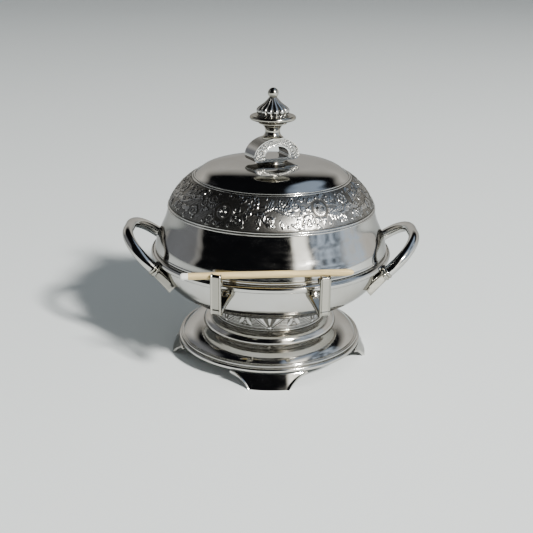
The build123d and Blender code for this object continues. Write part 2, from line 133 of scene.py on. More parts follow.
class StageSettings(bpy.types.PropertyGroup):
    """Floor, light and camera."""

    floor: bpy.props.FloatVectorProperty(
        name="Floor", description="Pale floor", subtype="COLOR", size=4,
        default=(0.80, 0.845, 0.85, 1))
    camera_height: bpy.props.FloatProperty(
        name="Camera height", description="Camera above the floor", default=0.2709, unit="LENGTH")
    camera_distance: bpy.props.FloatProperty(
        name="Camera distance", description="Camera in front of the dish's axis", default=0.5765,
        unit="LENGTH")
    camera_side: bpy.props.FloatProperty(
        name="Camera side", description="Camera to the right of the axis", default=-0.0026,
        unit="LENGTH")
    camera_pitch: bpy.props.FloatProperty(
        name="Camera pitch", description="How far the camera looks down", default=radians(20.08),
        subtype="ANGLE")
    camera_roll: bpy.props.FloatProperty(
        name="Camera roll", description="Turn about the line of sight", default=radians(0.9),
        subtype="ANGLE")
    camera_lens: bpy.props.FloatProperty(
        name="Lens", description="Focal length in millimetres", default=59.9)
    key_power: bpy.props.FloatProperty(
        name="Key light", description="Power of the soft light from the right", default=400.0)
    fill: bpy.props.FloatProperty(
        name="Fill", description="Brightness of the even light from all round", default=0.25)


# ------------------------------------------------------------------ mesh helpers
def deselect():
    """Nothing selected and no edit mode, whatever the last tool left."""
    if bpy.context.object and bpy.context.object.mode != "OBJECT":
        bpy.ops.object.mode_set(mode="OBJECT")
    bpy.ops.object.select_all(action="DESELECT")


def close_up():
    """Edit mode on the active mesh: merge, clean and point the faces outwards."""
    bpy.ops.object.mode_set(mode="EDIT")
    bpy.ops.mesh.select_all(action="SELECT")
    bpy.ops.mesh.remove_doubles(threshold=0.000002)
    bpy.ops.mesh.delete_loose(use_verts=True, use_edges=True, use_faces=False)
    bpy.ops.mesh.select_all(action="SELECT")
    bpy.ops.mesh.normals_make_consistent(inside=False)
    bpy.ops.object.mode_set(mode="OBJECT")


def smooth(piece, angle=38):
    """Smooth shading that keeps creases sharper than angle."""
    deselect()
    piece.select_set(True)
    bpy.context.view_layer.objects.active = piece
    bpy.ops.object.shade_smooth_by_angle(angle=radians(angle))


def turned(name, profile, steps):
    """Closed ring of profile points (radius, height), in millimetres, spun about the axis."""
    deselect()
    bpy.ops.mesh.primitive_circle_add(vertices=len(profile), radius=0.01, fill_type="NOTHING")
    piece = bpy.context.object
    piece.name = name
    for vertex, (radius, height) in zip(piece.data.vertices, profile):
        vertex.co = (radius * MM, 0, height * MM)
    bpy.ops.object.mode_set(mode="EDIT")
    bpy.ops.mesh.select_all(action="SELECT")
    bpy.ops.mesh.spin(steps=steps, angle=tau, center=(0, 0, 0), axis=(0, 0, 1))
    close_up()
    smooth(piece)
    return piece


def wrapped(name, columns, rows, place, fill=False):
    """Grid of columns by rows whose points are moved to place(a, b), both from 0 to 1, in millimetres."""
    deselect()
    bpy.ops.mesh.primitive_grid_add(x_subdivisions=columns, y_subdivisions=rows, size=2)
    piece = bpy.context.object
    piece.name = name
    for vertex in piece.data.vertices:
        a, b = (vertex.co.x + 1) / 2, (vertex.co.y + 1) / 2
        vertex.co = Vector(place(a, b)) * MM
    close_up()
    if fill:
        bpy.ops.object.mode_set(mode="EDIT")
        bpy.ops.mesh.select_all(action="SELECT")
        bpy.ops.mesh.fill_holes(sides=0)
        bpy.ops.mesh.normals_make_consistent(inside=False)
        bpy.ops.object.mode_set(mode="OBJECT")
    smooth(piece)
    return piece


def swept(name, route, across, section, scale=lambda a: 1.0):
    """Solid along route points, closed at both ends. across is the constant side direction, and
    section is a closed list of (side, out) offsets."""
    route = [Vector(p) for p in route]
    across = Vector(across).normalized()
    outs = []
    for index in range(len(route)):
        before, after = route[max(index - 1, 0)], route[min(index + 1, len(route) - 1)]
        outs.append(across.cross(after - before).normalized())
    count = len(section)

    def place(a, b):
        station = min(round(a * (len(route) - 1)), len(route) - 1)
        side, out = section[round(b * count) % count]
        size = scale(a)
        return route[station] + across * side * size + outs[station] * out * size

    return wrapped(name, len(route) - 1, count, place, fill=True)


def softened(name, node, width, angle=35):
    """Copy of a frame node with its loose triangles merged and its edges eased."""
    deselect()
    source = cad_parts[node]
    piece = bpy.data.objects.new(name, source.data.copy())
    bpy.context.scene.collection.objects.link(piece)
    piece.select_set(True)
    bpy.context.view_layer.objects.active = piece
    bpy.ops.object.mode_set(mode="EDIT")
    bpy.ops.mesh.select_all(action="SELECT")
    bpy.ops.mesh.remove_doubles(threshold=0.000002)
    bpy.ops.mesh.customdata_custom_splitnormals_clear()
    bpy.ops.object.mode_set(mode="OBJECT")
    bevel = piece.modifiers.new("ease", "BEVEL")
    bevel.width = width
    bevel.segments = 3
    bevel.limit_method = "ANGLE"
    bevel.angle_limit = radians(angle)
    bpy.ops.object.modifier_apply(modifier=bevel.name)
    smooth(piece)
    return piece


def copied(pattern, name, place):
    """Copy of a pattern with its own mesh, put in its place by a matrix."""
    deselect()
    pattern.select_set(True)
    bpy.context.view_layer.objects.active = pattern
    bpy.ops.object.duplicate(linked=False)
    piece = bpy.context.object
    piece.name = name
    piece.data.transform(place)
    return piece


# ------------------------------------------------------------------ outline helpers
def circle_through(a, b, c):
    """Centre and radius of the circle through three points of a plane."""
    (ax, ay), (bx, by), (cx, cy) = a, b, c
    d = 2 * (ax * (by - cy) + bx * (cy - ay) + cx * (ay - by))
    sa, sb, sc = ax * ax + ay * ay, bx * bx + by * by, cx * cx + cy * cy
    ux = (sa * (by - cy) + sb * (cy - ay) + sc * (ay - by)) / d
    uy = (sa * (cx - bx) + sb * (ax - cx) + sc * (bx - ax)) / d
    return (ux, uy), hypot(ax - ux, ay - uy)


def arc(start, via, end, count):
    """count points of the arc from start through via, up to but not including end."""
    (cx, cy), radius = circle_through(start, via, end)
    first = atan2(start[1] - cy, start[0] - cx)
    sweep = (atan2(end[1] - cy, end[0] - cx) - first) % tau
    if (atan2(via[1] - cy, via[0] - cx) - first) % tau > sweep:
        sweep -= tau
    return [(cx + radius * cos(first + sweep * k / count), cy + radius * sin(first + sweep * k / count))
            for k in range(count)]


def curve(points, count):
    """Smooth line through points, count steps to each span, without the last point."""
    padded = [tuple(2 * a - b for a, b in zip(points[0], points[1]))] + list(points)
    padded.append(tuple(2 * a - b for a, b in zip(points[-1], points[-2])))
    line = []
    for p0, p1, p2, p3 in zip(padded, padded[1:], padded[2:], padded[3:]):
        for k in range(count):
            t = k / count
            line.append(tuple(
                0.5 * (2 * b + (c - a) * t + (2 * a - 5 * b + 4 * c - d) * t * t
                       + (3 * b - a - 3 * c + d) * t ** 3)
                for a, b, c, d in zip(p0, p1, p2, p3)))
    return line


def straight(start, end, count):
    """count points from start towards end, without the end."""
    return [(start[0] + (end[0] - start[0]) * k / count, start[1] + (end[1] - start[1]) * k / count)
            for k in range(count)]


def wire(inner, bottom, depth, height, count=14):
    """Half-round wire standing out of a cylinder: a closed profile."""
    land = max(depth - height / 2, 0.02)
    side = (inner + land, bottom)
    top = (inner + land, bottom + height)
    return [(inner - 0.05, bottom), *arc(side, (inner + depth, bottom + height / 2), top, count), top,
            (inner - 0.05, bottom + height)]


# ------------------------------------------------------------------ materials
EDGE_TINT = (0.50, 0.50, 0.50, 1)


def new_material(name):
    """Material with an empty tree, its shader and helpers to add and join nodes."""
    material = bpy.data.materials.new(name)
    material.use_nodes = True
    tree = material.node_tree
    tree.nodes.clear()
    output = tree.nodes.new("ShaderNodeOutputMaterial")
    shader = tree.nodes.new("ShaderNodeBsdfPrincipled")
    tree.links.new(shader.outputs[0], output.inputs[0])
    return material, tree, shader


def noise_of(tree, vector, scale, detail):
    """Noise on any vector."""
    texture = tree.nodes.new("ShaderNodeTexNoise")
    texture.inputs["Scale"].default_value = scale
    texture.inputs["Detail"].default_value = detail
    tree.links.new(vector, texture.inputs["Vector"])
    return texture.outputs["Fac"]


def noise(tree, scale, detail=4.0, stretch=(1, 1, 1), roughness=0.55):
    """Noise on the piece's own coordinates, in metres, stretched by stretch."""
    place = tree.nodes.new("ShaderNodeTexCoord")
    mapping = tree.nodes.new("ShaderNodeMapping")
    mapping.inputs["Scale"].default_value = stretch
    texture = tree.nodes.new("ShaderNodeTexNoise")
    texture.inputs["Scale"].default_value = scale
    texture.inputs["Detail"].default_value = detail
    texture.inputs["Roughness"].default_value = roughness
    tree.links.new(place.outputs["Object"], mapping.inputs["Vector"])
    tree.links.new(mapping.outputs[0], texture.inputs["Vector"])
    return texture.outputs["Fac"]


def spread(tree, value, low_in, high_in, low_out, high_out):
    """Map a value from one range to another, clamped."""
    node = tree.nodes.new("ShaderNodeMapRange")
    for index, number in enumerate((low_in, high_in, low_out, high_out), start=1):
        node.inputs[index].default_value = number
    tree.links.new(value, node.inputs[0])
    return node.outputs[0]


def blend_colour(tree, factor, first, second):
    """Mix two colours by a factor. Each is a colour or a socket."""
    node = tree.nodes.new("ShaderNodeMix")
    node.data_type = "RGBA"
    tree.links.new(factor, node.inputs["Factor"])
    for socket, colour in ((node.inputs[6], first), (node.inputs[7], second)):
        if isinstance(colour, bpy.types.NodeSocket):
            tree.links.new(colour, socket)
        else:
            socket.default_value = colour
    return node.outputs[2]


def bump(tree, shader, height, strength, distance, under=None):
    """Bump from a height, in metres of distance, on top of another bump."""
    node = tree.nodes.new("ShaderNodeBump")
    node.inputs["Strength"].default_value = strength
    node.inputs["Distance"].default_value = distance
    tree.links.new(height, node.inputs["Height"])
    if under:
        tree.links.new(under, node.inputs["Normal"])
    tree.links.new(node.outputs[0], shader.inputs["Normal"])
    return node.outputs[0]


def polished_silver(finish, name="silver_polished", tarnish=0.5, rough=(0.05, 0.15), clean=None):
    """Old silver plate: bright, a little yellowed in patches, with fine rubbing marks."""
    material, tree, shader = new_material(name)
    shader.inputs["Metallic"].default_value = 1.0
    shader.inputs["Specular Tint"].default_value = EDGE_TINT
    patches = noise(tree, 34, 5)
    amount = spread(tree, patches, 0.42, 0.72, 0.0, tarnish)
    tree.links.new(blend_colour(tree, amount, tuple(clean or finish.silver), tuple(finish.tarnish)),
                   shader.inputs["Base Color"])
    smears = noise(tree, 110, 7, (1, 1, 2.4))
    tree.links.new(spread(tree, smears, 0.35, 0.75, *rough), shader.inputs["Roughness"])
    wobble = bump(tree, shader, noise(tree, 26, 2), 0.09, 0.0016)
    bump(tree, shader, noise(tree, 1500, 3, (1, 1, 5)), 0.10, 0.00003, wobble)
    return material


def chased_silver(finish, name="silver_chased", wear=(0.30, 1.02)):
    """Chased plate: the ground is darkened, the raised work is rubbed bright. Reads the relief."""
    material, tree, shader = new_material(name)
    shader.inputs["Metallic"].default_value = 1.0
    shader.inputs["Specular Tint"].default_value = EDGE_TINT
    relief = tree.nodes.new("ShaderNodeAttribute")
    relief.attribute_name = "relief"
    grime = noise(tree, 420, 6)
    edge = tree.nodes.new("ShaderNodeMath")
    edge.operation = "MULTIPLY_ADD"
    tree.links.new(grime, edge.inputs[0])
    edge.inputs[1].default_value = 0.55
    tree.links.new(relief.outputs["Fac"], edge.inputs[2])
    worn = spread(tree, edge.outputs[0], *wear, 0.0, 1.0)
    tree.links.new(blend_colour(tree, worn, tuple(finish.oxide), tuple(finish.silver)),
                   shader.inputs["Base Color"])
    tree.links.new(spread(tree, worn, 0.0, 1.0, 0.36, 0.12), shader.inputs["Roughness"])
    bump(tree, shader, noise(tree, 1300, 4), 0.35, 0.00008)
    return material


def brass(finish):
    """Plain turned brass with a dull film."""
    material, tree, shader = new_material("brass_plain")
    shader.inputs["Metallic"].default_value = 1.0
    film = spread(tree, noise(tree, 260, 4), 0.4, 0.7, 0.0, 0.6)
    tree.links.new(blend_colour(tree, film, tuple(finish.brass), (0.36, 0.25, 0.12, 1)),
                   shader.inputs["Base Color"])
    tree.links.new(spread(tree, film, 0, 0.6, 0.22, 0.42), shader.inputs["Roughness"])
    bump(tree, shader, noise(tree, 900, 3, (1, 1, 6)), 0.2, 0.00005)
    return material


def softwood(finish):
    """Pale split softwood with long grain along X."""
    material, tree, shader = new_material("wood_pale")
    grain = noise(tree, 700, 6, (0.035, 1, 1), 0.62)
    flecks = noise(tree, 1900, 3, (0.09, 1, 1))
    dark = tuple(0.62 * c for c in finish.wood[:3]) + (1,)
    first = blend_colour(tree, spread(tree, grain, 0.36, 0.66, 0, 1), dark, tuple(finish.wood))
    light = tuple(min(1, 1.22 * c) for c in finish.wood[:3]) + (1,)
    tree.links.new(blend_colour(tree, spread(tree, flecks, 0.55, 0.75, 0, 0.7), first, light),
                   shader.inputs["Base Color"])
    shader.inputs["Roughness"].default_value = 0.72
    shader.inputs["Specular IOR Level"].default_value = 0.3
    bump(tree, shader, grain, 0.5, 0.00015)
    return material


def rim_glint_white(finish):
    """Slightly grainy white on the stick's end: a painted highlight, standing for the glint of the bowl's
    rim behind it.
    """
    material, tree, shader = new_material("tip_painted_highlight")
    shade = tuple(0.82 * c for c in finish.tip[:3]) + (1,)
    grains = noise(tree, 1600, 4)
    tree.links.new(blend_colour(tree, grains, shade, tuple(finish.tip)), shader.inputs["Base Color"])
    shader.inputs["Roughness"].default_value = 0.85
    bump(tree, shader, grains, 0.5, 0.0001)
    return material


def floor_finish(stage):
    """Plain pale matt floor."""
    material, tree, shader = new_material("floor_pale")
    shade = tuple(0.965 * c for c in stage.floor[:3]) + (1,)
    tree.links.new(blend_colour(tree, noise(tree, 1.4, 2), shade, tuple(stage.floor)),
                   shader.inputs["Base Color"])
    shader.inputs["Roughness"].default_value = 0.62
    shader.inputs["Specular IOR Level"].default_value = 0.25
    return material


MATERIALS = {}


def finish_piece(piece, material, slot, body, *nodes):
    """Give a piece its finish, put it on its body and let it stand for its nodes."""
    piece.data.materials.clear()
    piece.data.materials.append(MATERIALS[material])
    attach(piece, body)
    if nodes:
        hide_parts(*nodes)


def silver_piece(piece, body, node, material="silver"):
    """A polished silver piece, in place of one node."""
    finish_piece(piece, material, "silver_plate", body, node)


def set_relief(piece, values):
    """Store the height of the relief, 0 to 1, on each point."""
    layer = piece.data.attributes.new("relief", "FLOAT", "POINT")
    layer.data.foreach_set("value", np.asarray(values, dtype=np.float32))


def points_of(piece):
    """Points of a mesh as an array, in millimetres."""
    array = np.empty(len(piece.data.vertices) * 3)
    piece.data.vertices.foreach_get("co", array)
    return array.reshape(-1, 3) / MM


def move_points(piece, array):
    """Put an array of points, in millimetres, back into the mesh."""
    piece.data.vertices.foreach_set("co", (array * MM).ravel())
    piece.data.update()


# ------------------------------------------------------------------ chased ornament
def ridge(distance, width):
    """Soft line of a chasing tool."""
    return np.exp(-(distance / width) ** 2)


class Ornament:
    """Repeating field of relief: x runs round, y up, both in millimetres."""

    def __init__(self, x, y, period, ground):
        self.x, self.y, self.period = x, y, period
        self.height = ground

    def local(self, cx, cy, angle=0.0):
        """Coordinates about a point, turned, with x wrapped to the nearest repeat."""
        dx = (self.x - cx + self.period / 2) % self.period - self.period / 2
        dy = self.y - cy
        return dx * cos(angle) + dy * sin(angle), -dx * sin(angle) + dy * cos(angle)

    def add(self, shape, level):
        """Lay a raised shape on the field. level is 1 on its outline and falls outwards, and the
        tool's mark round the outline is sunk."""
        mark = np.clip((level - 0.55) / 0.3, 0, 1)
        self.height = np.maximum(self.height * (1 - mark), shape)

    def line(self, gap, width, height=0.85):
        """Raised line where gap is 0, with the ground sunk beside it."""
        self.add(height * ridge(gap, width), np.exp(-(gap / (1.9 * width)) ** 2) * 1.3)

    def leaf(self, cx, cy, angle, length, width, bend=0.0):
        """Pointed leaf from its stalk, with a sunk midrib and side veins."""
        along, side = self.local(cx, cy, angle)
        along = along / length
        side = (side - bend * width * np.sin(np.clip(along, 0, 1) * pi)) / width
        outline = np.clip(np.sin(np.clip(along, 0, 1) * pi), 1e-4, None) ** 0.8
        offset = 2 * np.abs(side) / outline
        inside = (along > 0) & (along < 1)
        body = np.where(inside, np.sqrt(np.clip(1 - offset ** 2, 0, None)), 0)
        veins = 0.55 + 0.30 * np.cos(tau * (along * 5.5 - np.abs(side) * 2.6))
        rim = ridge(offset - 0.84, 0.16) * inside
        shape = np.maximum(np.maximum(body * veins, 0.95 * rim), 0.9 * ridge(side, 0.08) * inside)
        self.add(shape, np.where(inside, 1.95 - offset * 0.95, 0))

    def flower(self, cx, cy, radius, petals, turn=0.0):
        """Open flower with round petals, each hollowed, round a button."""
        dx, dy = self.local(cx, cy)
        r, t = np.hypot(dx, dy), np.arctan2(dy, dx) + turn
        lobe = np.abs(np.cos(petals * t / 2))
        edge = radius * (0.60 + 0.40 * lobe ** 0.6)
        body = 0.45 * lobe * (r < edge) * (0.6 + 0.4 * np.cos(tau * 2 * r / radius))
        rim = 0.95 * ridge(r - 0.88 * edge, 0.12 * radius)
        shape = np.maximum(body, rim) * (1 - 0.9 * ridge(r - 0.32 * radius, 0.09 * radius))
        self.add(np.maximum(shape, ridge(r, 0.2 * radius)), 2 - r / edge)

    def feather_eye(self, cx, cy, radius):
        """Rings of a feather's eye inside a fringe of barbs."""
        dx, dy = self.local(cx, cy)
        r, t = np.hypot(dx, dy * 0.9), np.arctan2(dy, dx)
        rings = (0.45 + 0.45 * np.cos(tau * r / (0.30 * radius))) * (r < radius)
        barbs = (0.5 + 0.5 * np.cos(26 * t + 2.2 * r / radius)) * (r > radius) * (r < 1.75 * radius)
        fringe = 0.75 * barbs * np.clip((1.75 * radius - r) / (0.3 * radius), 0, 1)
        self.add(np.maximum(rings, fringe), 2 - r / (1.7 * radius))

    def curl(self, cx, cy, radius, hand):
        """Spiral tendril."""
        dx, dy = self.local(cx, cy)
        r, t = np.hypot(dx, dy), np.arctan2(dy, dx) * hand
        lag = 1.6 * r / radius - t / tau
        gap = np.abs(lag - np.round(lag)) * radius / 1.6
        inside = r < radius
        self.line(np.where(inside, gap, 9.0), 0.42)

    def stem(self, rise, waves, shift, width, middle=0.0):
        """Wavy stem that runs right round."""
        line = middle + rise * np.sin(tau * waves * self.x / self.period + shift)
        lean = np.sqrt(1 + (tau * waves * rise / self.period) ** 2)
        self.line((self.y - line) / lean, width)

    def bud(self, cx, cy, radius):
        """Round bead."""
        dx, dy = self.local(cx, cy)
        r = np.hypot(dx, dy) / radius
        self.add(np.sqrt(np.clip(1 - r * r, 0, None)), 2 - r)


def frieze_relief(x, y, period):
    """Dense running foliage with flowers, feather eyes and tendrils. y is 0 half way up the band."""
    ground = 0.22 + 0.15 * np.sin(tau * (y + 1.2 * np.sin(tau * 3 * x / period)) / 1.05)
    field = Ornament(x, y, period, ground)
    rise, waves = 4.2, 2
    golden = (sqrt(5) - 1) / 2
    for step in range(64):
        at, level = period * (step + 0.5) / 64, 19 * ((step * golden) % 1) - 9.5
        angle = 0.9 * sin(5.1 * step) + (0.7 if level > 0 else -0.7) + (pi if step % 3 == 0 else 0)
        field.leaf(at, level, angle, 6.2 + 1.8 * sin(2.9 * step), 2.9 + 0.5 * cos(4.7 * step),
                   0.5 * sin(1.3 * step))
    field.stem(0.8 * rise, 3, 2.4, 0.34)
    field.stem(rise, waves, 0.6, 0.5)
    for step in range(20):
        at = period * (step + 0.35) / 20
        phase = tau * waves * at / period + 0.6
        lean = atan2(rise * tau * waves / period * cos(phase), 1)
        side = 1 if step % 2 else -1
        field.leaf(at, rise * sin(phase), lean + side * (0.8 + 0.2 * sin(2.3 * step)),
                   8.2 + 1.4 * sin(1.7 * step), 3.7, -0.5 * side)
    for share, level, radius, hand in ((0.33, -5.8, 3.6, 1), (0.69, 5.6, 3.8, -1), (0.84, -6.2, 3.2, 1),
                                       (0.99, -4.6, 3.6, -1), (0.12, 4.4, 3.2, -1), (0.53, 4.8, 3.4, 1)):
        field.curl(period * share, level, radius, hand)
    field.feather_eye(period * 0.24, 1.6, 2.7)
    field.feather_eye(period * 0.77, -1.8, 2.6)
    for share, level, radius, petals in ((0.17, -5.6, 3.7, 5), (0.40, 5.2, 4.0, 6), (0.60, -5.4, 3.5, 5),
                                         (0.91, 5.2, 3.8, 5), (0.48, -6.8, 2.6, 6), (0.05, 6.6, 2.6, 5),
                                         (0.30, 7.2, 2.3, 5), (0.71, -7.4, 2.4, 5), (0.645, 1.2, 2.4, 5)):
        field.flower(period * share, level, radius, petals, 2.1 * share)
    for step in range(30):
        field.bud(period * (step + 0.2) / 30, (8.6 if step % 2 else -8.8) + 1.3 * sin(3.1 * step), 0.85)
    return field.height


def drum_relief(x, y, period):
    """Fans of tongues between crossing lines on a finely lined ground. y is 0 at the foot of the drum."""
    field = Ornament(x, y, period, 0.34 + 0.26 * np.sin(tau * y / 1.05))
    dx, dy = field.local(0, 1.2)
    r, t = np.hypot(dx, dy), np.arctan2(dx, dy)
    tongues = np.clip(np.cos(9 * t), 0, 1) ** 0.6 * (np.abs(t) < 0.88)
    body = tongues * (0.45 + 0.55 * np.clip(r / 9, 0, 1)) * (r > 2.4) * (r < 13.5)
    field.add(body, np.where(np.abs(t) < 0.95, 2 - r / 13.5, 0))
    for lean in (-0.93, 0.93):
        side = dx * cos(lean) - dy * sin(lean)
        for gap in (-0.65, 0.65):
            field.line(np.where(dy > 0, side - gap, 9.0), 0.36)
    for centre in (-0.5, 0.5):
        field.flower(centre * period, 6.6, 3.3, 6)
        field.leaf(centre * period - 4.6, 3.0, 0.9, 6.0, 2.4)
        field.leaf(centre * period + 4.6, 3.0, pi - 0.9, 6.0, 2.4)
    field.bud(0, 1.9, 1.5)
    return field.height


# ------------------------------------------------------------------ the pieces
def dome_levels():
    """Radii and heights that the cover's outline passes through, in millimetres."""
    ring = reach("cover_dome")
    shoulder = reach("cover_lower_moulding") - 1.1
    crown = 0.665 * reach("bowl_shell")
    bottom, cap = low("cover_dome"), high("cover_dome")
    shoulder_z = (low("cover_lower_moulding") + high("cover_lower_moulding")) / 2 + 0.2
    crown_z = cap - 8.7
    return ring, bottom, shoulder, shoulder_z, crown, crown_z, cap


def band_arc(gauge=0.0):
    """Ends and middle of the shoulder between the mouldings, lifted by gauge."""
    _, _, shoulder, shoulder_z, crown, crown_z, _ = dome_levels()
    run, rise = shoulder - crown, crown_z - shoulder_z
    length = hypot(run, rise)
    across, up = rise / length, run / length
    swell = 2.2 + gauge
    middle = ((shoulder + crown) / 2 + across * swell, (shoulder_z + crown_z) / 2 + up * swell)
    return ((shoulder + across * gauge, shoulder_z + up * gauge), middle,
            (crown + across * gauge, crown_z + up * gauge))


class DISH_OT_pedestal(bpy.types.Operator):
    """Feet, base, neck flare and chased neck drum"""
    bl_idname = "dish.pedestal"
    bl_label = "Pedestal"

    def execute(self, context):
        sizes = context.scene.dish_sizes
        steps = sizes.turn_steps
        self.feet(sizes)
        side, foot_top, top = reach("base_dish"), low("base_dish"), high("base_dish")
        flare, opening = reach("neck_flare"), 34.0
        edge = high("base_upper_bead")
        swell = (0.52 * (side - 1.4 + flare), edge + 0.62 * (top - edge))
        under = (swell[0] - SHEET / 2, swell[1] - SHEET)
        outline = [(side - 1.5, foot_top), (side, foot_top), (side, edge - 0.3),
                   *arc((side, edge - 0.3), (side - 0.25, edge + 0.12), (side - 1.4, edge + 0.25), 6),
                   *arc((side - 1.4, edge + 0.25), swell, (flare, top), 40), (flare, top), (opening, top),
                   (opening, top - SHEET),
                   *arc((flare, top - SHEET), under, (side - 2 * SHEET, edge - SHEET), 24),
                   (side - 2 * SHEET, edge - SHEET)]
        silver_piece(turned("base_shell", outline, steps), "dish", "base_dish")
        for node, depth in (("base_lower_bead", reach("base_lower_bead") - side),
                            ("base_upper_bead", reach("base_upper_bead") - side)):
            bead = turned(node + "_wire", wire(side, low(node), depth, high(node) - low(node)), steps)
            silver_piece(bead, "dish", node)
        land, flare_top = reach("neck_lower_wire") + 0.8, high("neck_flare")
        bulge = (flare - 1.6, top + 0.62 * (flare_top - top))
        outline = [(flare - SHEET, top), (flare, top), *arc((flare, top), bulge, (land, flare_top), 28),
                   (land, flare_top), (opening, flare_top), (opening, flare_top - SHEET),
                   *arc((land, flare_top - SHEET), (bulge[0] - SHEET, bulge[1] - SHEET),
                        (flare - SHEET, top), 16)]
        # The neck flare takes the heavily yellowed plate: partly tarnish, partly painted shade standing for
        # its darker, warm reflections.
        finish_piece(turned("neck_ovolo", outline, steps), "warm", "silver_plate", "dish", "neck_flare")
        self.drum(sizes)
        return {"FINISHED"}

    def feet(self, sizes):
        """Four bracket plates with a raised edge down each side."""
        height, gauge = high("foot_front"), 2.0
        top_radius = reach("base_lower_bead") + 0.6
        lean = -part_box("foot_front")[0][1] / MM - top_radius
        half_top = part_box("foot_front")[1][0] / MM
        half_low = 0.524 * half_top
        knee = (half_low + 0.42 * (half_top - half_low), 0.66 * height)
        (cx, cz), bend = circle_through((half_low, 0), knee, (half_top, height))
        rim = sizes.foot_ridge / MM

        def place(a, b):
            z = b * height
            half = cx - sqrt(bend ** 2 - (z - cz) ** 2)
            x = (2 * a - 1) * half
            edge = (half - abs(x)) / 0.75
            radius = top_radius + lean * (1 - b) - rim + rim * np.exp(-edge ** 2)
            return x, -sqrt(radius ** 2 - x * x), z

        foot = wrapped("bracket_foot", 72, 14, place)
        if foot.data.polygons[0].normal.y > 0:
            foot.data.flip_normals()
        plate = foot.modifiers.new("plate", "SOLIDIFY")
        plate.thickness = gauge * MM
        plate.offset = -1
        ease = foot.modifiers.new("ease", "BEVEL")
        ease.width, ease.segments = 0.0003, 2
        ease.limit_method, ease.angle_limit = "ANGLE", radians(50)
        for modifier in ("plate", "ease"):
            bpy.ops.object.modifier_apply(modifier=modifier)
        flat = points_of(foot)
        flat[:, 2] = np.clip(flat[:, 2], 0, height)
        move_points(foot, flat)
        smooth(foot, 40)
        for index, name in enumerate(("front", "right", "back", "left")):
            piece = copied(foot, f"bracket_foot_{name}", Matrix.Rotation(index * pi / 2, 4, "Z"))
            silver_piece(piece, "dish", f"foot_{name}")
        bpy.data.objects.remove(foot)

    def drum(self, sizes):
        """Neck drum with its chasing, and the wires at its ends."""
        radius, bottom, top = reach("neck_drum"), low("neck_drum"), high("neck_drum")
        outline = [(radius - SHEET, bottom), *straight((radius, bottom), (radius, top), 48),
                   (radius, top), (radius - SHEET, top)]
        drum = turned("neck_drum_chased", outline, 840)
        points = points_of(drum)
        r = np.hypot(points[:, 0], points[:, 1])
        turn = np.arctan2(points[:, 0], -points[:, 1])
        outer = r > radius - 0.5
        count = 7
        relief = drum_relief(turn * radius, points[:, 2] - bottom, tau * radius / count)
        fade = np.clip(np.minimum(points[:, 2] - bottom, top - points[:, 2]) / 1.2, 0, 1)
        relief = np.where(outer, relief * fade, 0.0)
        grow = 1 + np.where(outer, (relief - 0.7) * 0.55, 0) / r
        points[:, :2] *= grow[:, None]
        move_points(drum, points)
        set_relief(drum, relief)
        finish_piece(drum, "chased", "chased_silver", "dish", "neck_drum")
        for node in ("neck_lower_wire", "neck_upper_wire"):
            depth, height = reach(node) - radius, high(node) - low(node)
            silver_piece(turned(node + "_round", wire(radius, low(node), depth, height, 10),
                                sizes.turn_steps), "dish", node)


class DISH_OT_bowl(bpy.types.Operator):
    """Bowl, rim bead and the ledges inside it"""
    bl_idname = "dish.bowl"
    bl_label = "Bowl"

    def side(self, gauge, count):
        """Outline from the flat bottom up the wall, set in by gauge."""
        radius, bottom, top = reach("bowl_shell"), low("bowl_shell"), high("bowl_shell")
        turn, lower = radians(44), 37.4
        upper = (top - bottom - lower * (1 - cos(turn))) / cos(turn)
        centre = (radius - upper, top)
        low_centre = (centre[0] - (lower - upper) * sin(turn), bottom + lower)
        line = [(low_centre[0] + (lower - gauge) * sin(turn * k / count),
                 low_centre[1] - (lower - gauge) * cos(turn * k / count)) for k in range(count)]
        line += [(centre[0] + (upper - gauge) * sin(turn + (pi / 2 - turn) * k / count),
                  centre[1] - (upper - gauge) * cos(turn + (pi / 2 - turn) * k / count))
                 for k in range(count + 1)]
        return line

    def execute(self, context):
        steps = context.scene.dish_sizes.turn_steps
        bottom = low("bowl_shell")
        outer, inner = self.side(0, 26), self.side(BOWL_SHEET, 18)
        outline = [(0, bottom), *straight((18, bottom), outer[0], 3), *outer, *reversed(inner),
                   (18, bottom + BOWL_SHEET), (0, bottom + BOWL_SHEET)]
        finish_piece(turned("bowl_spun", outline, steps), "silver", "silver_plate", "dish", "bowl_shell",
                     "bowl_floor")
        radius = reach("bowl_shell")
        depth, height = reach("rim_bead") - radius, high("rim_bead") - low("rim_bead")
        bead = turned("rim_half_round", wire(radius, low("rim_bead"), depth, height, 26), steps)
        silver_piece(bead, "dish", "rim_bead")
        opening = radius - 7.2
        ledge_low, ledge_high = low("seat_ledge"), high("seat_ledge")
        outline = [(opening, ledge_low), (radius, ledge_low), (radius, ledge_high),
                   (opening + 0.4, ledge_high), (opening, ledge_high - 0.4)]
        silver_piece(turned("cover_seat", outline, steps), "dish", "seat_ledge")
        return {"FINISHED"}


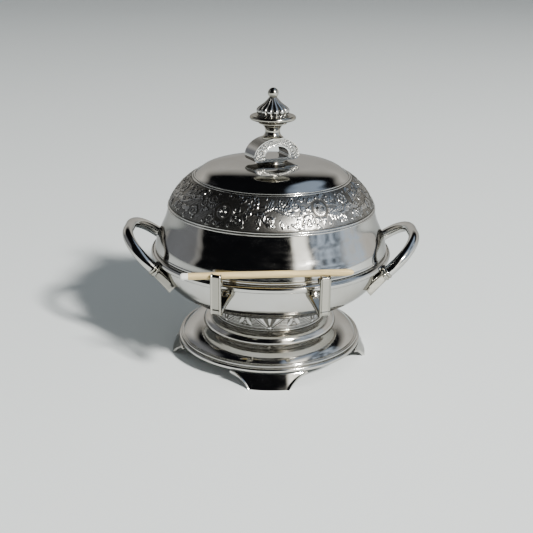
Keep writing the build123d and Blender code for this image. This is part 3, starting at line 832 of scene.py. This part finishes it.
class DISH_OT_handles(bpy.types.Operator):
    """Two rising loop handles with their collars and soldered feet"""
    bl_idname = "dish.handles"
    bl_label = "Handles"

    rise, root_half, end_half, far, bend = radians(41), 35.0, 29.5, 37.6, 28.0
    gauge = 3.8

    def execute(self, context):
        drop, sink, wall = 12.5, 2.0, reach("bowl_shell")
        root_x = sqrt(wall ** 2 - self.root_half ** 2) - sink
        root_z = high("bowl_shell") - drop
        lean = atan2(self.root_half - self.end_half, self.far)
        start = 7.5
        ring = self.collar(start / cos(lean))
        for side_name, hand in (("right", 1), ("left", -1)):
            def place(along, across):
                return (hand * (root_x + along * cos(self.rise)), across, root_z + along * sin(self.rise))

            up = Vector((-hand * sin(self.rise), 0, cos(self.rise)))
            half = self.root_half - start * (self.root_half - self.end_half) / self.far
            route = [place(*p) for p in self.loop((start, half))]
            section = [(self.gauge * cos(tau * k / 28), self.gauge * sin(tau * k / 28)) for k in range(28)]
            rod = swept(f"handle_rod_{side_name}", route, up, section,
                        lambda a: 1 - 0.07 * sin(pi * a) ** 6)
            silver_piece(rod, "dish", f"handle_{side_name}")
            for end_name, end in (("front", -1), ("back", 1)):
                base = Vector(place(0, end * self.root_half))
                along = Vector(place(1, end * (self.root_half - sin(lean) / cos(lean)))) - base
                turn = Vector((0, 0, 1)).rotation_difference(along).to_matrix().to_4x4()
                collar = copied(ring, f"handle_collar_{end_name}_{side_name}",
                                Matrix.Translation(base * MM) @ turn)
                silver_piece(collar, "dish", f"collar_{end_name}_{side_name}", "aged_and_shaded")
                node = f"terminal_{end_name}_{side_name}"
                foot = softened(f"handle_foot_{end_name}_{side_name}", node, 0.0006)
                silver_piece(foot, "dish", node, "aged_and_shaded")
        bpy.data.objects.remove(ring)
        return {"FINISHED"}

    def loop(self, start):
        """Route of the rod in its own plane: two legs and a far bar joined by round bends."""
        along, half = start
        lean = atan2(self.root_half - self.end_half, self.far)
        corner = (self.far, self.end_half)
        setback = self.bend * (1 / cos(lean) - sin(lean) / cos(lean))
        leg_end = (corner[0] - setback * cos(lean), corner[1] + setback * sin(lean))
        centre = (self.far - self.bend, self.end_half - setback)
        first = pi / 2 - lean
        front = [(along + (leg_end[0] - along) * k / 16, half + (leg_end[1] - half) * k / 16)
                 for k in range(16)]
        front += [(centre[0] + self.bend * cos(first * (1 - k / 30)),
                   centre[1] + self.bend * sin(first * (1 - k / 30))) for k in range(31)]
        bar = [(self.far, centre[1] * (1 - k / 4)) for k in range(1, 5)]
        half_route = front + bar
        mirrored = [(a, -b) for a, b in reversed(half_route[:-1])]
        return half_route + mirrored

    def collar(self, foot):
        """Double ring round a leg that stands on the origin, foot being the length of its foot."""
        gap, width, proud, inside = 0.3, 2.0, 0.6, self.gauge - 0.4
        profile = [(inside, foot - 0.1)]
        for ring in (0, 1):
            first = foot + gap + width * ring
            profile += arc((self.gauge, first), (self.gauge + proud, first + width / 2),
                           (self.gauge, first + width), 12)
        profile += [(self.gauge, foot + gap + 2 * width), (inside, foot + gap + 2 * width + 0.1)]
        return turned("handle_collar", profile, 48)


class DISH_OT_knife_rests(bpy.types.Operator):
    """Two strap brackets with raised edges, a rolled tip, a saddle and a leaf at the wall"""
    bl_idname = "dish.knife_rests"
    bl_label = "Knife rests"

    def execute(self, context):
        rim = context.scene.dish_sizes.strap_rim / MM
        wall, bead_low = reach("bowl_shell"), low("rim_bead")
        inner = reach("rim_bead") + REST_SLOT
        top, bottom = high("knife_rest_right"), low("knife_rest_right")
        gauge, width, angle = 2.6, 6.6, radians(20.2)
        middle = inner + gauge / 2
        arm_high = bead_low - 0.6 - gauge / 2
        half = width / 2
        edge = [(half, gauge / 2 - 0.5), (half - 0.25, gauge / 2 - 0.12), (half - 0.6, gauge / 2),
                (half - 0.95, gauge / 2 - 0.2), (half - 1.25, gauge / 2 - rim)]
        section = (edge + [(-side, out) for side, out in reversed(edge)]
                   + [(-side, -out) for side, out in edge] + [(side, -out) for side, out in reversed(edge)])
        for side_name, hand in (("left", -1), ("right", 1)):
            turn = Matrix.Rotation(-pi / 2 + hand * angle, 4, "Z")
            low_z = bottom + gauge / 2
            arm = straight((wall - 0.6, arm_high), (middle - 3.4, low_z + 1.1), 12)
            elbow = arc((middle - 3.4, low_z + 1.1), (middle - 0.55, low_z + 0.35), (middle, low_z + 3.0),
                        12)
            upright = straight((middle, low_z + 3.0), (middle, top - 2.0), 20)
            roll = arc((middle, top - 2.0), (middle - 0.5, top - 1.35), (middle - 1.2, top - 1.3), 8)
            route = [(x, 0, z) for x, z in arm + elbow + upright + roll]
            strap = swept(f"rest_strap_{side_name}", route, (0, 1, 0), section,
                          lambda a: 1 + 0.6 * max(0, 1 - a / 0.24) ** 1.5)
            saddle = self.saddle(side_name, inner, top, 5.0)
            leaf = self.leaf(side_name, wall, arm_high)
            deselect()
            for part in (saddle, leaf, strap):
                part.select_set(True)
            bpy.context.view_layer.objects.active = strap
            bpy.ops.object.join()
            strap.data.transform(turn)
            strap.name = f"rest_{side_name}"
            smooth(strap, 42)
            silver_piece(strap, "dish", f"knife_rest_{side_name}", "aged_and_shaded")
        return {"FINISHED"}

    def saddle(self, side_name, inner, top, width):
        """Roll behind the tip, on a short neck, that a knife lies on."""
        from_middle, stick_offset = 30.6, 2.4
        tip_drop, stick_radius, gap, roll_radius, set_back = 1.3, 2.15, 0.35, 1.9, 3.3
        lateral = (from_middle if side_name == "right" else -from_middle) + stick_offset
        stick_level = top - tip_drop + lateral * sin(STICK_TILT)
        centre = (inner - set_back, stick_level - stick_radius - gap - roll_radius)
        half = [(roll_radius - 0.4, width / 2), (roll_radius - 0.1, width / 2 - 0.2),
                (roll_radius, width / 2 - 0.6)]
        outline = [(0, -width / 2), *((out, -along) for out, along in half), (roll_radius - 0.15, 0),
                   *reversed(half), (0, width / 2)]
        roll = turned(f"rest_roll_{side_name}", outline, 40)
        roll.data.transform(Matrix.Translation((centre[0] * MM, 0, centre[1] * MM))
                            @ Matrix.Rotation(pi / 2, 4, "X"))
        route = [(centre[0] + (inner + 0.4 - centre[0]) * k / 8, 0, centre[1]) for k in range(9)]
        flat = [(2.3 * cos(tau * k / 24), 0.8 * sin(tau * k / 24)) for k in range(24)]
        neck = swept(f"rest_neck_{side_name}", route, (0, 1, 0), flat)
        deselect()
        neck.select_set(True)
        roll.select_set(True)
        bpy.context.view_layer.objects.active = roll
        bpy.ops.object.join()
        return roll

    def leaf(self, side_name, wall, level):
        """Small ribbed leaf where the arm meets the bowl."""
        def place(a, b):
            along = 9.5 * b
            half = 3.1 * sin(pi * min(b * 0.88 + 0.12, 1)) ** 0.7
            side = (2 * a - 1) * half
            lift = 0.9 * (1 - (2 * a - 1) ** 2) + 0.25 * cos(26 * b) * abs(2 * a - 1)
            return wall + 0.3 + 2.2 * sin(0.5 * pi * b) + lift, side, level + 2.2 - along * 0.62

        leaf = wrapped(f"rest_leaf_{side_name}", 12, 22, place)
        plate = leaf.modifiers.new("plate", "SOLIDIFY")
        plate.thickness, plate.offset = 0.0009, 0
        bpy.ops.object.modifier_apply(modifier="plate")
        return leaf


class DISH_OT_cover(bpy.types.Operator):
    """Cover: foot ring with its lip, dome, and the two double mouldings"""
    bl_idname = "dish.cover"
    bl_label = "Cover"

    def skin(self, gauge, count):
        """Outline of the dome from the foot ring to the flat under the finial, set in by gauge."""
        ring, bottom, shoulder, shoulder_z, crown, crown_z, cap = dome_levels()
        run, rise = ring - shoulder, shoulder_z - bottom
        skirt = [(ring - gauge - a * run, bottom + b * rise)
                 for a, b in ((0, 0), (0.14, 0.21), (0.45, 0.44), (0.76, 0.69), (1, 1))]
        _, middle, end = band_arc(-gauge)
        cap_rise = cap - crown_z
        low_cap = [end, (0.85 * crown, crown_z + 0.64 * cap_rise - gauge),
                   (0.56 * crown, crown_z + 0.98 * cap_rise - gauge), (12.0, cap - gauge)]
        return (curve(skirt, count) + arc(skirt[-1], middle, end, 2 * count)
                + curve(low_cap, int(1.3 * count)) + [low_cap[-1]])

    def execute(self, context):
        steps = context.scene.dish_sizes.turn_steps
        outer, inner = self.skin(0, 13), self.skin(SHEET, 8)
        cap = high("cover_dome")
        outline = [*outer, (STUD_HOLE, cap), (STUD_HOLE, cap - SHEET), *reversed(inner)]
        silver_piece(turned("dome_spun", outline, steps), "cover", "cover_dome")
        ring, lip_out = reach("cover_foot_ring"), reach("seat_ledge") - 7.6
        seat, bottom, top = high("seat_ledge"), low("cover_foot_ring"), high("cover_foot_ring")
        outline = [(lip_out - SHEET, bottom), (lip_out, bottom), (lip_out, seat), (ring - 0.3, seat),
                   *arc((ring - 0.3, seat), (ring, seat + 0.9), (ring - 0.15, seat + 1.7), 8),
                   (ring - 0.45, seat + 1.95), (ring - 0.1, top), (ring - 2 * SHEET, top),
                   (ring - 2 * SHEET, seat + SHEET), (lip_out - SHEET, seat + SHEET)]
        silver_piece(turned("cover_bezel", outline, steps), "cover", "cover_foot_ring")
        _, _, shoulder, shoulder_z, crown, crown_z, _ = dome_levels()
        self.double_wire("lower_double_wire", (shoulder, shoulder_z - 0.2), (0.985, 0.17), steps,
                         "cover_lower_moulding")
        self.double_wire("upper_double_wire", (crown, crown_z), (0.62, 0.78), steps,
                         "cover_upper_moulding")
        return {"FINISHED"}

    def double_wire(self, name, centre, out, steps, node):
        """Two fine half-round wires side by side, with a groove between them."""
        ox, oz = out
        along = (-oz, ox)

        def point(travel, lift):
            return centre[0] + along[0] * travel + ox * lift, centre[1] + along[1] * travel + oz * lift

        profile = [point(-1.4, -0.3)]
        for first in (-1.35, 0.2):
            profile += arc(point(first, 0.0), point(first + 0.57, 0.62), point(first + 1.15, 0.0), 10)
            profile.append(point(first + 1.15, 0.0))
        profile.append(point(1.4, -0.3))
        piece = turned(name, profile, steps)
        points = points_of(piece)
        out_r, out_z = np.hypot(points[:, 0], points[:, 1]) - centre[0], points[:, 2] - centre[1]
        set_relief(piece, np.clip((out_r * ox + out_z * oz) / 0.5, 0, 1.15))
        finish_piece(piece, "lined", "silver_plate", "cover", node)


class DISH_OT_frieze(bpy.types.Operator):
    """Chased band of leaves, flowers and feather eyes on the shoulder of the cover"""
    bl_idname = "dish.frieze"
    bl_label = "Chased frieze"

    def execute(self, context):
        sizes = context.scene.dish_sizes
        start, middle, end = band_arc(0)
        rows = 50
        inner = arc(start, middle, end, 100)[4:97:4]
        (cx, cz), radius = circle_through(start, middle, end)
        face = 0.25
        line = arc(start, middle, end, 1000)
        low_share, high_share = 0.045, 0.955
        picks = [line[int(1000 * (low_share + (high_share - low_share) * k / (rows - 1)))]
                 for k in range(rows)]
        grow = (radius + face) / radius
        outer = [(cx + (r - cx) * grow, cz + (z - cz) * grow) for r, z in picks]
        outline = [*outer, picks[-1], *reversed(inner[2:-2:6]), picks[0]]
        band = turned("frieze_chased", outline, sizes.chase_steps)
        points = points_of(band)
        r = np.hypot(points[:, 0], points[:, 1])
        out_r, out_z = r - cx, points[:, 2] - cz
        distance = np.hypot(out_r, out_z)
        outer_face = distance > radius + face / 2
        share = np.arctan2(out_z, out_r)
        first, last = (atan2(z - cz, q - cx) for q, z in (outer[0], outer[-1]))
        across = (share - first) / (last - first)
        length = abs(last - first) * radius
        centre_radius = (start[0] + end[0]) / 2
        turn = np.arctan2(points[:, 0], -points[:, 1])
        period = tau * centre_radius / 3
        relief = frieze_relief(turn * centre_radius, (across - 0.5) * length, period)
        fade = np.clip(np.minimum(across, 1 - across) * length / 1.0, 0, 1)
        relief = np.where(outer_face, relief * fade, 0)
        lift = np.where(outer_face, relief * sizes.chase_depth / MM, 0)
        scale = (distance + lift) / distance
        new_r = cx + out_r * scale
        points[:, :2] *= (new_r / r)[:, None]
        points[:, 2] = cz + out_z * scale
        move_points(band, points)
        set_relief(band, relief)
        smooth(band, 60)
        finish_piece(band, "chased", "chased_silver", "cover", "cover_frieze")
        return {"FINISHED"}


class DISH_OT_finial(bpy.types.Operator):
    """Finial: collar, chased loop, spool, disc, ribbed onion and ball"""
    bl_idname = "dish.finial"
    bl_label = "Finial"

    def execute(self, context):
        sizes = context.scene.dish_sizes
        steps = sizes.turn_steps // 2
        base, top = low("finial_collar"), high("finial_collar")
        radius = reach("finial_collar")
        outline = [(STUD_HOLE, base), (radius - 0.2, base), (radius, base + 0.2),
                   *arc((radius, base + 0.6), (0.84 * radius, base + 1.2), (0.93 * radius, top - 0.3), 12),
                   (0.93 * radius, top - 0.3), (0.92 * radius, top), (STUD_HOLE, top)]
        silver_piece(turned("finial_foot", outline, steps), "cover", "finial_collar", "aged_and_shaded")
        self.loop()
        self.spool(steps)
        self.disc(steps)
        self.onion(sizes)
        bottom, height = low("finial_ball"), high("finial_ball") - low("finial_ball")
        ball = 3.5
        centre = bottom + height - ball
        neck = sqrt(ball ** 2 - (centre - bottom) ** 2)
        first = atan2(bottom - centre, neck)
        outline = [(0, bottom)] + [(ball * cos(first + (pi / 2 - first) * k / 30),
                                    centre + ball * sin(first + (pi / 2 - first) * k / 30))
                                   for k in range(30)] + [(0, bottom + height)]
        silver_piece(turned("finial_bead", outline, 72), "cover", "finial_ball", "aged_and_shaded")
        return {"FINISHED"}

    def arch(self, half, height, floor, share):
        """Point of the D outline, share of the way round from the middle of its floor."""
        foot = 0.22 * height
        flat = half - foot
        quarter = pi / 2 * foot
        a, b = half, height - foot
        rim = pi * (3 * (a + b) - sqrt((3 * a + b) * (a + 3 * b))) / 2
        total = 2 * flat + 2 * quarter + rim
        travel = share * total
        if travel < flat:
            return travel, floor
        if travel < flat + quarter:
            t = (travel - flat) / foot
            return flat + foot * sin(t), floor + foot - foot * cos(t)
        if travel < flat + quarter + rim:
            t = (travel - flat - quarter) / rim * pi
            return a * cos(t), floor + foot + b * sin(t)
        mirrored = self.arch(half, height, floor, 1 - share)
        return -mirrored[0], mirrored[1]

    def loop(self):
        """D-shaped tunnel with chased faces, sunk inside a plain margin."""
        floor, top = low("finial_loop"), high("finial_loop")
        half, depth = 17.0, 13.5
        hole_half, hole_height, sill = 8.9, 7.7, 1.9
        columns, rows = 240, 56
        face_rows, side_rows = 18, 10

        def place(a, b):
            row = round(b * rows) % rows
            outer = self.arch(half, top - floor, floor, a % 1.0)
            inner = self.arch(hole_half, hole_height, floor + sill, a % 1.0)
            if row <= face_rows:
                share, y = row / face_rows, -depth / 2
            elif row <= face_rows + side_rows:
                share, y = 1.0, -depth / 2 + depth * (row - face_rows) / side_rows
            elif row <= 2 * face_rows + side_rows:
                share, y = 1 - (row - face_rows - side_rows) / face_rows, depth / 2
            else:
                share, y = 0.0, depth / 2 - depth * (row - 2 * face_rows - side_rows) / side_rows
            x = inner[0] + (outer[0] - inner[0]) * share
            z = inner[1] + (outer[1] - inner[1]) * share
            return x, y, z

        loop = wrapped("finial_loop_chased", columns, rows, place)
        points = points_of(loop)
        x, y, z = points.T
        face = np.abs(np.abs(y) - depth / 2) < 0.01
        beads = 0.5 + 0.5 * np.cos(tau * (x + 0.3 * z) / 2.1) * np.cos(tau * (z - 0.3 * x) / 2.0)
        scroll = 0.5 + 0.5 * np.sin(tau * np.hypot(np.abs(x) - 11.5, z - floor - 6.0) / 1.9)
        work = np.where(np.abs(x) > 8.5, 0.45 * beads + 0.55 * scroll, beads)
        edge = np.zeros(len(points))
        for index in range(len(points)):
            if face[index]:
                edge[index] = self.margin(x[index], z[index], half, top - floor, floor,
                                          hole_half, hole_height, sill)
        rim = np.clip(edge / 0.9, 0, 1)
        relief = np.where(face, np.where(rim < 1, 1.0, work), 1.0)
        sink = np.where(face & (rim >= 1), (1 - work) * 0.42 + 0.12, 0.0)
        points[:, 1] -= np.sign(y) * sink
        move_points(loop, points)
        set_relief(loop, relief * 0.9)
        loop.data.transform(Matrix.Rotation(radians(29), 4, "Z"))
        smooth(loop, 50)
        finish_piece(loop, "chased", "chased_silver", "cover", "finial_loop")

    def margin(self, x, z, half, height, floor, hole_half, hole_height, sill):
        """Rough distance from a point of the face to the nearer of its two outlines."""
        def level(px, pz, a, tall, base):
            foot = 0.22 * tall
            if pz < base + foot:
                return min(pz - base, a - abs(px))
            reach_here = hypot(px / a, (pz - base - foot) / (tall - foot))
            return (1 - reach_here) * min(a, tall - foot)

        outside = level(x, z, half, height, floor)
        inside = -level(x, z, hole_half, hole_height, floor + sill)
        return max(min(outside, inside), 0)

    def spool(self, steps):
        """Waisted neck with its step, let down onto the loop's arch."""
        top = high("finial_spool")
        arch_top, step = high("finial_loop"), reach("finial_spool")
        start = arch_top - 1.7
        outline = [(0, start), (7.1, start), (7.1, arch_top - 0.1),
                   *arc((7.1, arch_top - 0.1), (5.3, arch_top + 1.8), (4.8, arch_top + 4.0), 16),
                   *arc((4.8, arch_top + 4.0), (6.0, top - 4.0), (step, top - 2.0), 20),
                   *arc((step, top - 2.0), (step + 0.0, top - 1.5), (step - 0.35, top - 1.1), 5),
                   (step - 0.9, top - 0.9), (step - 1.2, top), (0, top)]
        silver_piece(turned("finial_neck", outline, steps), "cover", "finial_spool", "aged_and_shaded")

    def disc(self, steps):
        """Disc with a double edge."""
        bottom, top, radius = low("finial_disc"), high("finial_disc"), reach("finial_disc")
        outline = [(0, bottom), (9.3, bottom), (10.2, bottom + 0.15), (radius - 2.6, bottom + 0.3),
                   *arc((radius - 1.9, bottom + 0.35), (radius, bottom + 1.75), (radius - 1.5, top - 0.25),
                        24), (radius - 1.5, top - 0.25), (radius - 2.3, top - 0.5), (11.2, top - 0.45),
                   *arc((11.2, top - 0.3), (10.6, top - 0.05), (10.0, top), 5), (9.4, top), (0, top)]
        silver_piece(turned("finial_saucer", outline, steps), "cover", "finial_disc", "aged_and_shaded")

    def onion(self, sizes):
        """Ribbed onion: the ribs fade into the neck."""
        bottom, top = low("finial_onion"), high("finial_onion")
        height = top - bottom
        outline = [(0, bottom), *curve([(9.9, bottom), (10.6, bottom + 0.34 * height),
                                        (5.83, bottom + 0.68 * height), (2.4, top)], 12),
                   (2.4, top), (0, top)]
        onion = turned("finial_onion_ribbed", outline, 28 * sizes.onion_ribs)
        points = points_of(onion)
        turn = np.arctan2(points[:, 1], points[:, 0])
        lobe = np.abs(np.cos(turn * sizes.onion_ribs / 2)) ** 0.55
        share = (points[:, 2] - bottom) / height
        depth = sizes.rib_depth * np.clip(1.25 - share, 0, 1) * np.clip(share / 0.06, 0, 1)
        points[:, :2] *= (1 - depth * (1 - lobe))[:, None]
        move_points(onion, points)
        set_relief(onion, np.clip(0.12 + 0.95 * lobe ** 1.6, 0, 1))
        smooth(onion, 60)
        finish_piece(onion, "chased_soft", "chased_silver", "cover", "finial_onion")


class DISH_OT_stick(bpy.types.Operator):
    """Loose wooden stick lying on the knife rests, its end painted white as a highlight for the glint of
    the bowl's rim
    """
    bl_idname = "dish.stick"
    bl_label = "Stick"

    def execute(self, context):
        wood_low, wood_high = (Vector(c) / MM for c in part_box("stick_wood"))
        tip_low, _ = (Vector(c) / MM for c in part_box("stick_tip"))
        radius = (wood_high.y - wood_low.y) / 2
        tilt = STICK_TILT
        start, end = tip_low.x + 0.1, wood_high.x - 0.1
        middle = Vector(((start + end) / 2, (wood_low.y + wood_high.y) / 2, 0))
        middle.z = (tip_low.z + wood_high.z) / 2
        length = (end - start) / cos(tilt) - 0.2
        tip = 5.0

        def bar(name, first, last, ends, uneven):
            def place(a, b):
                travel = first + (last - first) * a
                near = min(travel / 2.0, (length - travel) / 5.5, 1)
                near = max(near, 0.0)
                size = radius * (0.35 + 0.65 * sqrt(1 - (1 - near) ** 2)) * (0.975 - uneven)
                t = tau * b
                corner = 1 + 0.035 * cos(4 * t) - uneven * sin(9 * t + 0.4 * sin(travel / 9))
                wave = 0.08 * sin(travel / 17)
                x = travel - length / 2
                y = size * corner * cos(t) + wave * 0.5
                z = size * corner * sin(t) + wave
                return (middle.x + x * cos(tilt) - z * sin(tilt), middle.y + y,
                        middle.z + x * sin(tilt) + z * cos(tilt))
            return wrapped(name, ends, 40, place, fill=True)

        wood = bar("stick_shaft", tip, length, 90, 0.012)
        finish_piece(wood, "wood", "wood", "stick", "stick_wood")
        # The white end piece carries a painted highlight: the glint of the bowl's rim behind it.
        head = bar("stick_end_painted_highlight", 0.0, tip, 16, 0.0)
        finish_piece(head, "tip", "white_tip", "stick", "stick_tip")
        return {"FINISHED"}


class DISH_OT_inside(bpy.types.Operator):
    """Finishes on the pieces inside the dish, which keep their plain shapes"""
    bl_idname = "dish.inside"
    bl_label = "Inside pieces"

    def execute(self, context):
        inside = {"drainer_plate": "satin", "drainer_rim": "satin", "drainer_ledge": "satin",
                  "finial_stud": "brass", "finial_washer": "brass", "finial_nut": "brass"}
        for node, material in inside.items():
            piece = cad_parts[node]
            piece.data.materials.clear()
            piece.data.materials.append(MATERIALS[material])
        return {"FINISHED"}


class DISH_OT_finishes(bpy.types.Operator):
    """Materials of the dish"""
    bl_idname = "dish.finishes"
    bl_label = "Finishes"

    def execute(self, context):
        finish = context.scene.dish_finish
        MATERIALS["silver"] = polished_silver(finish)
        MATERIALS["satin"] = polished_silver(finish, "silver_satin", 0.6, (0.14, 0.30))
        MATERIALS["chased"] = chased_silver(finish)
        MATERIALS["chased_soft"] = chased_silver(finish, "silver_chased_soft", (0.30, 1.35))
        MATERIALS["lined"] = chased_silver(finish, "silver_lined", (0.25, 0.75))
        # Heavily yellowed plate for the neck flare: tarnish patches, partly painted shade standing for its
        # darker, warm reflections.
        MATERIALS["warm"] = polished_silver(finish, "silver_warm", 1.0, (0.08, 0.2))
        # Castings' plate: partly tarnish, partly painted shade standing for their dark reflections.
        MATERIALS["aged_and_shaded"] = polished_silver(finish, "silver_aged", 0.5, (0.09, 0.2), finish.aged_and_shaded)
        MATERIALS["brass"] = brass(finish)
        MATERIALS["wood"] = softwood(finish)
        # Painted highlight for the stick's end: white standing for the rim's glint.
        MATERIALS["tip"] = rim_glint_white(finish)
        return {"FINISHED"}


class DISH_OT_stage(bpy.types.Operator):
    """Pale floor, soft studio light and the camera"""
    bl_idname = "dish.stage"
    bl_label = "Stage"

    def execute(self, context):
        stage = context.scene.dish_stage
        deselect()
        bpy.ops.mesh.primitive_circle_add(vertices=96, radius=9, fill_type="NGON")
        floor = context.object
        floor.name = "floor"
        floor.data.materials.append(floor_finish(stage))
        self.light("key", (2.1, -2.5, 2.45), 0.42, stage.key_power, (1.0, 0.98, 0.94))
        self.room(context.scene, stage)
        self.camera(context.scene, stage)
        return {"FINISHED"}

    def light(self, name, place, size, power, colour):
        """Square soft light that faces the dish."""
        data = bpy.data.lights.new(name, "AREA")
        data.size, data.energy, data.color = size, power, colour
        lamp = bpy.data.objects.new(name, data)
        lamp.location = place
        lamp.rotation_euler = (Vector((0, 0, 0.08)) - Vector(place)).to_track_quat("-Z", "Y").to_euler()
        bpy.context.scene.collection.objects.link(lamp)

    def room(self, scene, stage):
        """World: a pale sweep low down at the back and sides, a dark room in front with tall windows."""
        world = bpy.data.worlds.new("studio")
        scene.world = world
        world.use_nodes = True
        tree = world.node_tree
        tree.nodes.clear()
        output = tree.nodes.new("ShaderNodeOutputWorld")
        background = tree.nodes.new("ShaderNodeBackground")
        tree.links.new(background.outputs[0], output.inputs[0])
        place = tree.nodes.new("ShaderNodeTexCoord")
        parts = tree.nodes.new("ShaderNodeSeparateXYZ")
        tree.links.new(place.outputs["Generated"], parts.inputs[0])
        x, y, z = parts.outputs

        def band(value, edges, soft):
            """1 between two edges, falling to 0 over soft."""
            rise = spread(tree, value, edges[0] - soft, edges[0] + soft, 0, 1)
            fall = spread(tree, value, edges[1] - soft, edges[1] + soft, 1, 0)
            return times(rise, fall)

        def times(a, b):
            node = tree.nodes.new("ShaderNodeMath")
            node.operation = "MULTIPLY"
            tree.links.new(a, node.inputs[0])
            tree.links.new(b, node.inputs[1])
            return node.outputs[0]

        dark, pale = (0.006, 0.0065, 0.008, 1), (0.95, 0.93, 0.88, 1)
        behind = spread(tree, y, -0.26, -0.10, 0.0, 1.0)
        colour = blend_colour(tree, times(behind, band(z, (-1.2, 0.46), 0.10)), dark, pale)
        left = times(band(x, (-1.2, -0.72), 0.08), band(z, (-1.2, 0.75), 0.10))
        colour = blend_colour(tree, times(left, behind), colour, (0.24, 0.25, 0.27, 1))
        front = band(y, (-1.2, -0.2), 0.15)
        high_pane = times(band(x, (0.22, 0.62), 0.04), band(z, (0.70, 0.97), 0.04))
        colour = blend_colour(tree, high_pane, colour, (0.42, 0.52, 0.68, 1))
        pane = times(times(band(x, (0.37, 0.60), 0.035), band(z, (0.0, 0.80), 0.05)), front)
        colour = blend_colour(tree, pane, colour, (2.6, 2.55, 2.35, 1))
        branches = noise_of(tree, place.outputs["Generated"], 9, 6)
        mottle = spread(tree, branches, 0.36, 0.64, 0.12, 1.0)
        right = times(times(band(x, (0.66, 1.2), 0.03), band(z, (-0.02, 0.78), 0.05)),
                      band(y, (-1.2, 0.30), 0.06))
        colour = blend_colour(tree, times(right, mottle), colour, (0.80, 0.95, 1.15, 1))
        even = (0.93 * stage.fill, stage.fill, 1.04 * stage.fill, 1)
        path = tree.nodes.new("ShaderNodeLightPath")
        colour = blend_colour(tree, path.outputs["Is Glossy Ray"], even, colour)
        tree.links.new(colour, background.inputs["Color"])

    def camera(self, scene, stage):
        """Camera looking at the dish from the front and a little above."""
        data = bpy.data.cameras.new("camera")
        data.lens = stage.camera_lens
        data.clip_start = 0.01
        camera = bpy.data.objects.new("camera", data)
        turn = Matrix.Rotation(pi / 2 - stage.camera_pitch, 4, "X") @ Matrix.Rotation(
            stage.camera_roll, 4, "Z")
        camera.matrix_world = Matrix.Translation(
            (stage.camera_side, -stage.camera_distance, stage.camera_height)) @ turn
        scene.collection.objects.link(camera)
        scene.camera = camera


STEPS = ("finishes", "pedestal", "bowl", "handles", "knife_rests", "cover", "frieze", "finial", "stick",
         "inside", "stage")


class DISH_PT_panel(bpy.types.Panel):
    """Buttons for every step, in order"""
    bl_idname = "DISH_PT_panel"
    bl_label = "Covered Dish"
    bl_space_type = "VIEW_3D"
    bl_region_type = "UI"
    bl_category = "Covered Dish"

    def draw(self, context):
        for group in (context.scene.dish_sizes, context.scene.dish_finish, context.scene.dish_stage):
            box = self.layout.box()
            for name in group.__annotations__:
                box.prop(group, name)
        for step in STEPS:
            self.layout.operator(f"dish.{step}")


CLASSES = (DishSettings, FinishSettings, StageSettings, DISH_OT_finishes, DISH_OT_pedestal, DISH_OT_bowl,
           DISH_OT_handles, DISH_OT_knife_rests, DISH_OT_cover, DISH_OT_frieze, DISH_OT_finial,
           DISH_OT_stick, DISH_OT_inside, DISH_OT_stage, DISH_PT_panel)


def register():
    for item in CLASSES:
        bpy.utils.register_class(item)
    bpy.types.Scene.dish_sizes = bpy.props.PointerProperty(type=DishSettings)
    bpy.types.Scene.dish_finish = bpy.props.PointerProperty(type=FinishSettings)
    bpy.types.Scene.dish_stage = bpy.props.PointerProperty(type=StageSettings)


def unregister():
    for name in ("dish_sizes", "dish_finish", "dish_stage"):
        delattr(bpy.types.Scene, name)
    for item in reversed(CLASSES):
        bpy.utils.unregister_class(item)


def main():
    """Build every piece."""
    register()
    for step in STEPS:
        getattr(bpy.ops.dish, step)()


if __name__ == "__main__":
    main()
